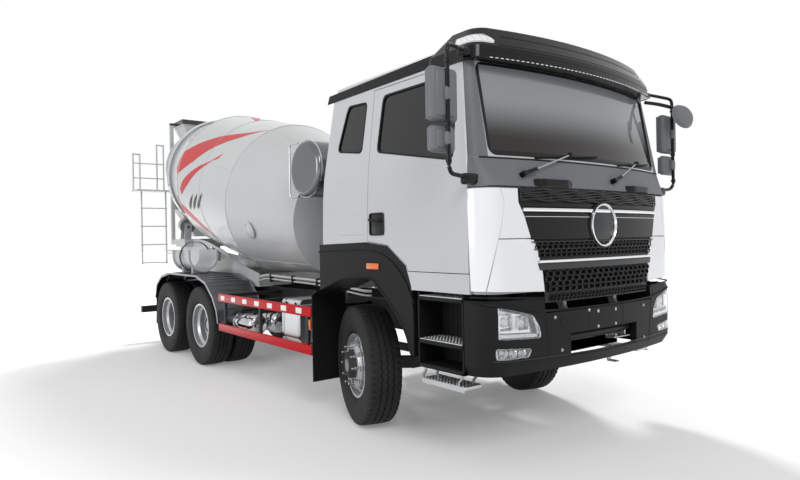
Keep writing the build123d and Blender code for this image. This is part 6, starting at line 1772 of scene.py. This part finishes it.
def weave(tree, place, skin):
    """A knitted cover: two crossed waves 9 mm apart darken it, coarser than the real 2 mm."""
    x, y, _ = node(tree, "ShaderNodeSeparateXYZ", i0=place).outputs
    waves = []
    for source in (y, x):
        scaled = node(tree, "ShaderNodeMath", {"operation": "MULTIPLY"}, i0=source, i1=2 * math.pi / THREAD_M)
        waves.append(node(tree, "ShaderNodeMath", {"operation": "SINE"}, i0=scaled.outputs[0]).outputs[0])
    both = node(tree, "ShaderNodeMath", {"operation": "MULTIPLY"}, i0=waves[0], i1=waves[1])
    amount = node(tree, "ShaderNodeMapRange", i0=both.outputs[0], i1=-1.0, i2=1.0, i3=0.0, i4=0.5)
    return blended(tree, amount.outputs[0], skin, linear("#17181a"))


# seat covers: woven polyester, dull, with a faint sheen along its edges; piping: soft vinyl
seat_cloth = finish("woven_polyester_seat_cover", "#34363a", 0.85, depth_mm=0.3, tone=0.1, paint=weave,
                    Sheen_Weight=0.3)
piping = glossy("vinyl_piping_grey", "#6a6c70", 0.5, size_mm=6, depth_mm=0.05)
SEAT_Y, SEAT_HALF, REST_HALF = 600, 250, 140
for label, side in (("left", 1), ("right", -1)):
    middle = side * SEAT_Y
    y0, y1 = middle - SEAT_HALF, middle + SEAT_HALF
    # columns: lowest and highest corner, axis it faces, crown, places of the channels
    cushions = {
        "seat_base": ((62, y0, 1841), (598, y1, 1969), 2, 0.14, (-0.5, 0.5)),
        "seat_back": ((2, y0, 1968), (118, y1, 2560), 0, 0.16, (-0.5, 0.5)),
        "seat_headrest": ((12, middle - REST_HALF, 2563), (108, middle + REST_HALF, 2738), 0, 0.12, ()),
    }
    for name, form in cushions.items():
        pad = put(f"{name}_{label}", cushion(*form), seat_cloth, "cab", sharp=80,
                  replaces=("seats",))
    edge = [(330, y0 + 14), (585, y0 + 14), (585, y1 - 14), (76, y1 - 14), (76, y0 + 14), (330, y0 + 14)]
    around_seat = rounded_path(edge, 40, 6)[:-1]
    line = np.column_stack([around_seat, np.full(len(around_seat), 1905.0)])
    put(f"seat_piping_{label}", swept(line, circle(5, 8), closed=True), piping, "cab")
    stalks = [tube([(60, y, 2520), (60, y, 2600)], 7, 10, 10, (0, 1, 0)) for y in (middle - 70, middle + 70)]
    put(f"seat_stalks_{label}", merge(*stalks), chrome, "cab")

# %% Instrument screen and hood
screen = block((1330, 1352), (-160, 160), (1965, 2100), 8, 3)
hood = block((1345, 1440), (-850, -350), (2150, 2215), 30, 5)
put("dashboard_screen", screen, bore_dark, "cab")
put("dashboard_hood", hood, dash_plastic, "cab")

# %% [markdown]
# ## The solids' own finishes
# Solids whose shape is right stay as they are, and only their material slots change. The table names the
# finish of each, from the cab's enamel to the cast hubs; the cab's enamel carries painted shade, and the
# steel of the fenders and the water tank carries painted reflection.

# %% Black lining of the hopper's mouth
RUBBER_RIM_M = 0.085
hopper_edge_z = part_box("charge_hopper")[1][2] - RUBBER_RIM_M


def black_above(tree, place, skin):
    """Painted sheet up to a height, and above it the black rubber lining of the rim."""
    z = node(tree, "ShaderNodeSeparateXYZ", i0=place).outputs[2]
    above = node(tree, "ShaderNodeMath", {"operation": "GREATER_THAN"}, i0=z, i1=hopper_edge_z)
    return blended(tree, above.outputs[0], skin, linear("#17181a"))


hopper_enamel = enamel("hopper_enamel_with_rubber_rim", "#bcbebf", 0.36, coat=0.3, depth_mm=0.05, tone=0.06,
                       dust=0.1, paint=black_above)

# %% Material of each solid
SOLID_FINISHES = {
    cab_enamel_painted_shade: ("cab_shell", "door_left", "door_right"),
    grained: ("cab_arches", "front_bumper", "mudguards", "cab_steps"),
    cowl_grey: ("cowl",),
    gloss_black: ("sun_visor",),
    cab_glass: ("cab_windows",),
    side_glass: ("door_glass_left", "door_glass_right"),
    frame_black: ("frame_rails", "cross_members", "tow_lug", "underrun_bar", "leaf_springs"),
    cast_black: ("engine", "front_axle", "drive_axles", "knuckle_left", "knuckle_right", "tie_rod"),
    wheel_silver: tuple(name for name in frame["nodes"] if name.startswith("rim_")),
    aluminium: ("fuel_tank", "side_tank"),
    fender_steel_painted_reflection: ("rear_fenders",),
    tank_steel_painted_reflection: ("water_tank",),
    pale_enamel: ("front_pedestal", "rear_pedestal", "hopper_posts", "ladder", "mixing_drum"),
    hopper_enamel: ("charge_hopper",),
    trough_paint: ("main_chute", "spare_chute", "discharge_funnel", "chute_swivel"),
    zinc: ("roller_left", "roller_right"),
    dash_plastic: ("dashboard",),
    black_rubber: ("steering_wheel",),
}
for material, names in SOLID_FINISHES.items():
    for name in names:
        slots = frame["nodes"][name].data.materials
        slots.clear()
        slots.append(material)
done = {name for names in SOLID_FINISHES.values() for name in names}
left = sorted(name for name, solid in frame["nodes"].items() if name not in done and not solid.hide_render)
print("solids with no finish of their own:", left)
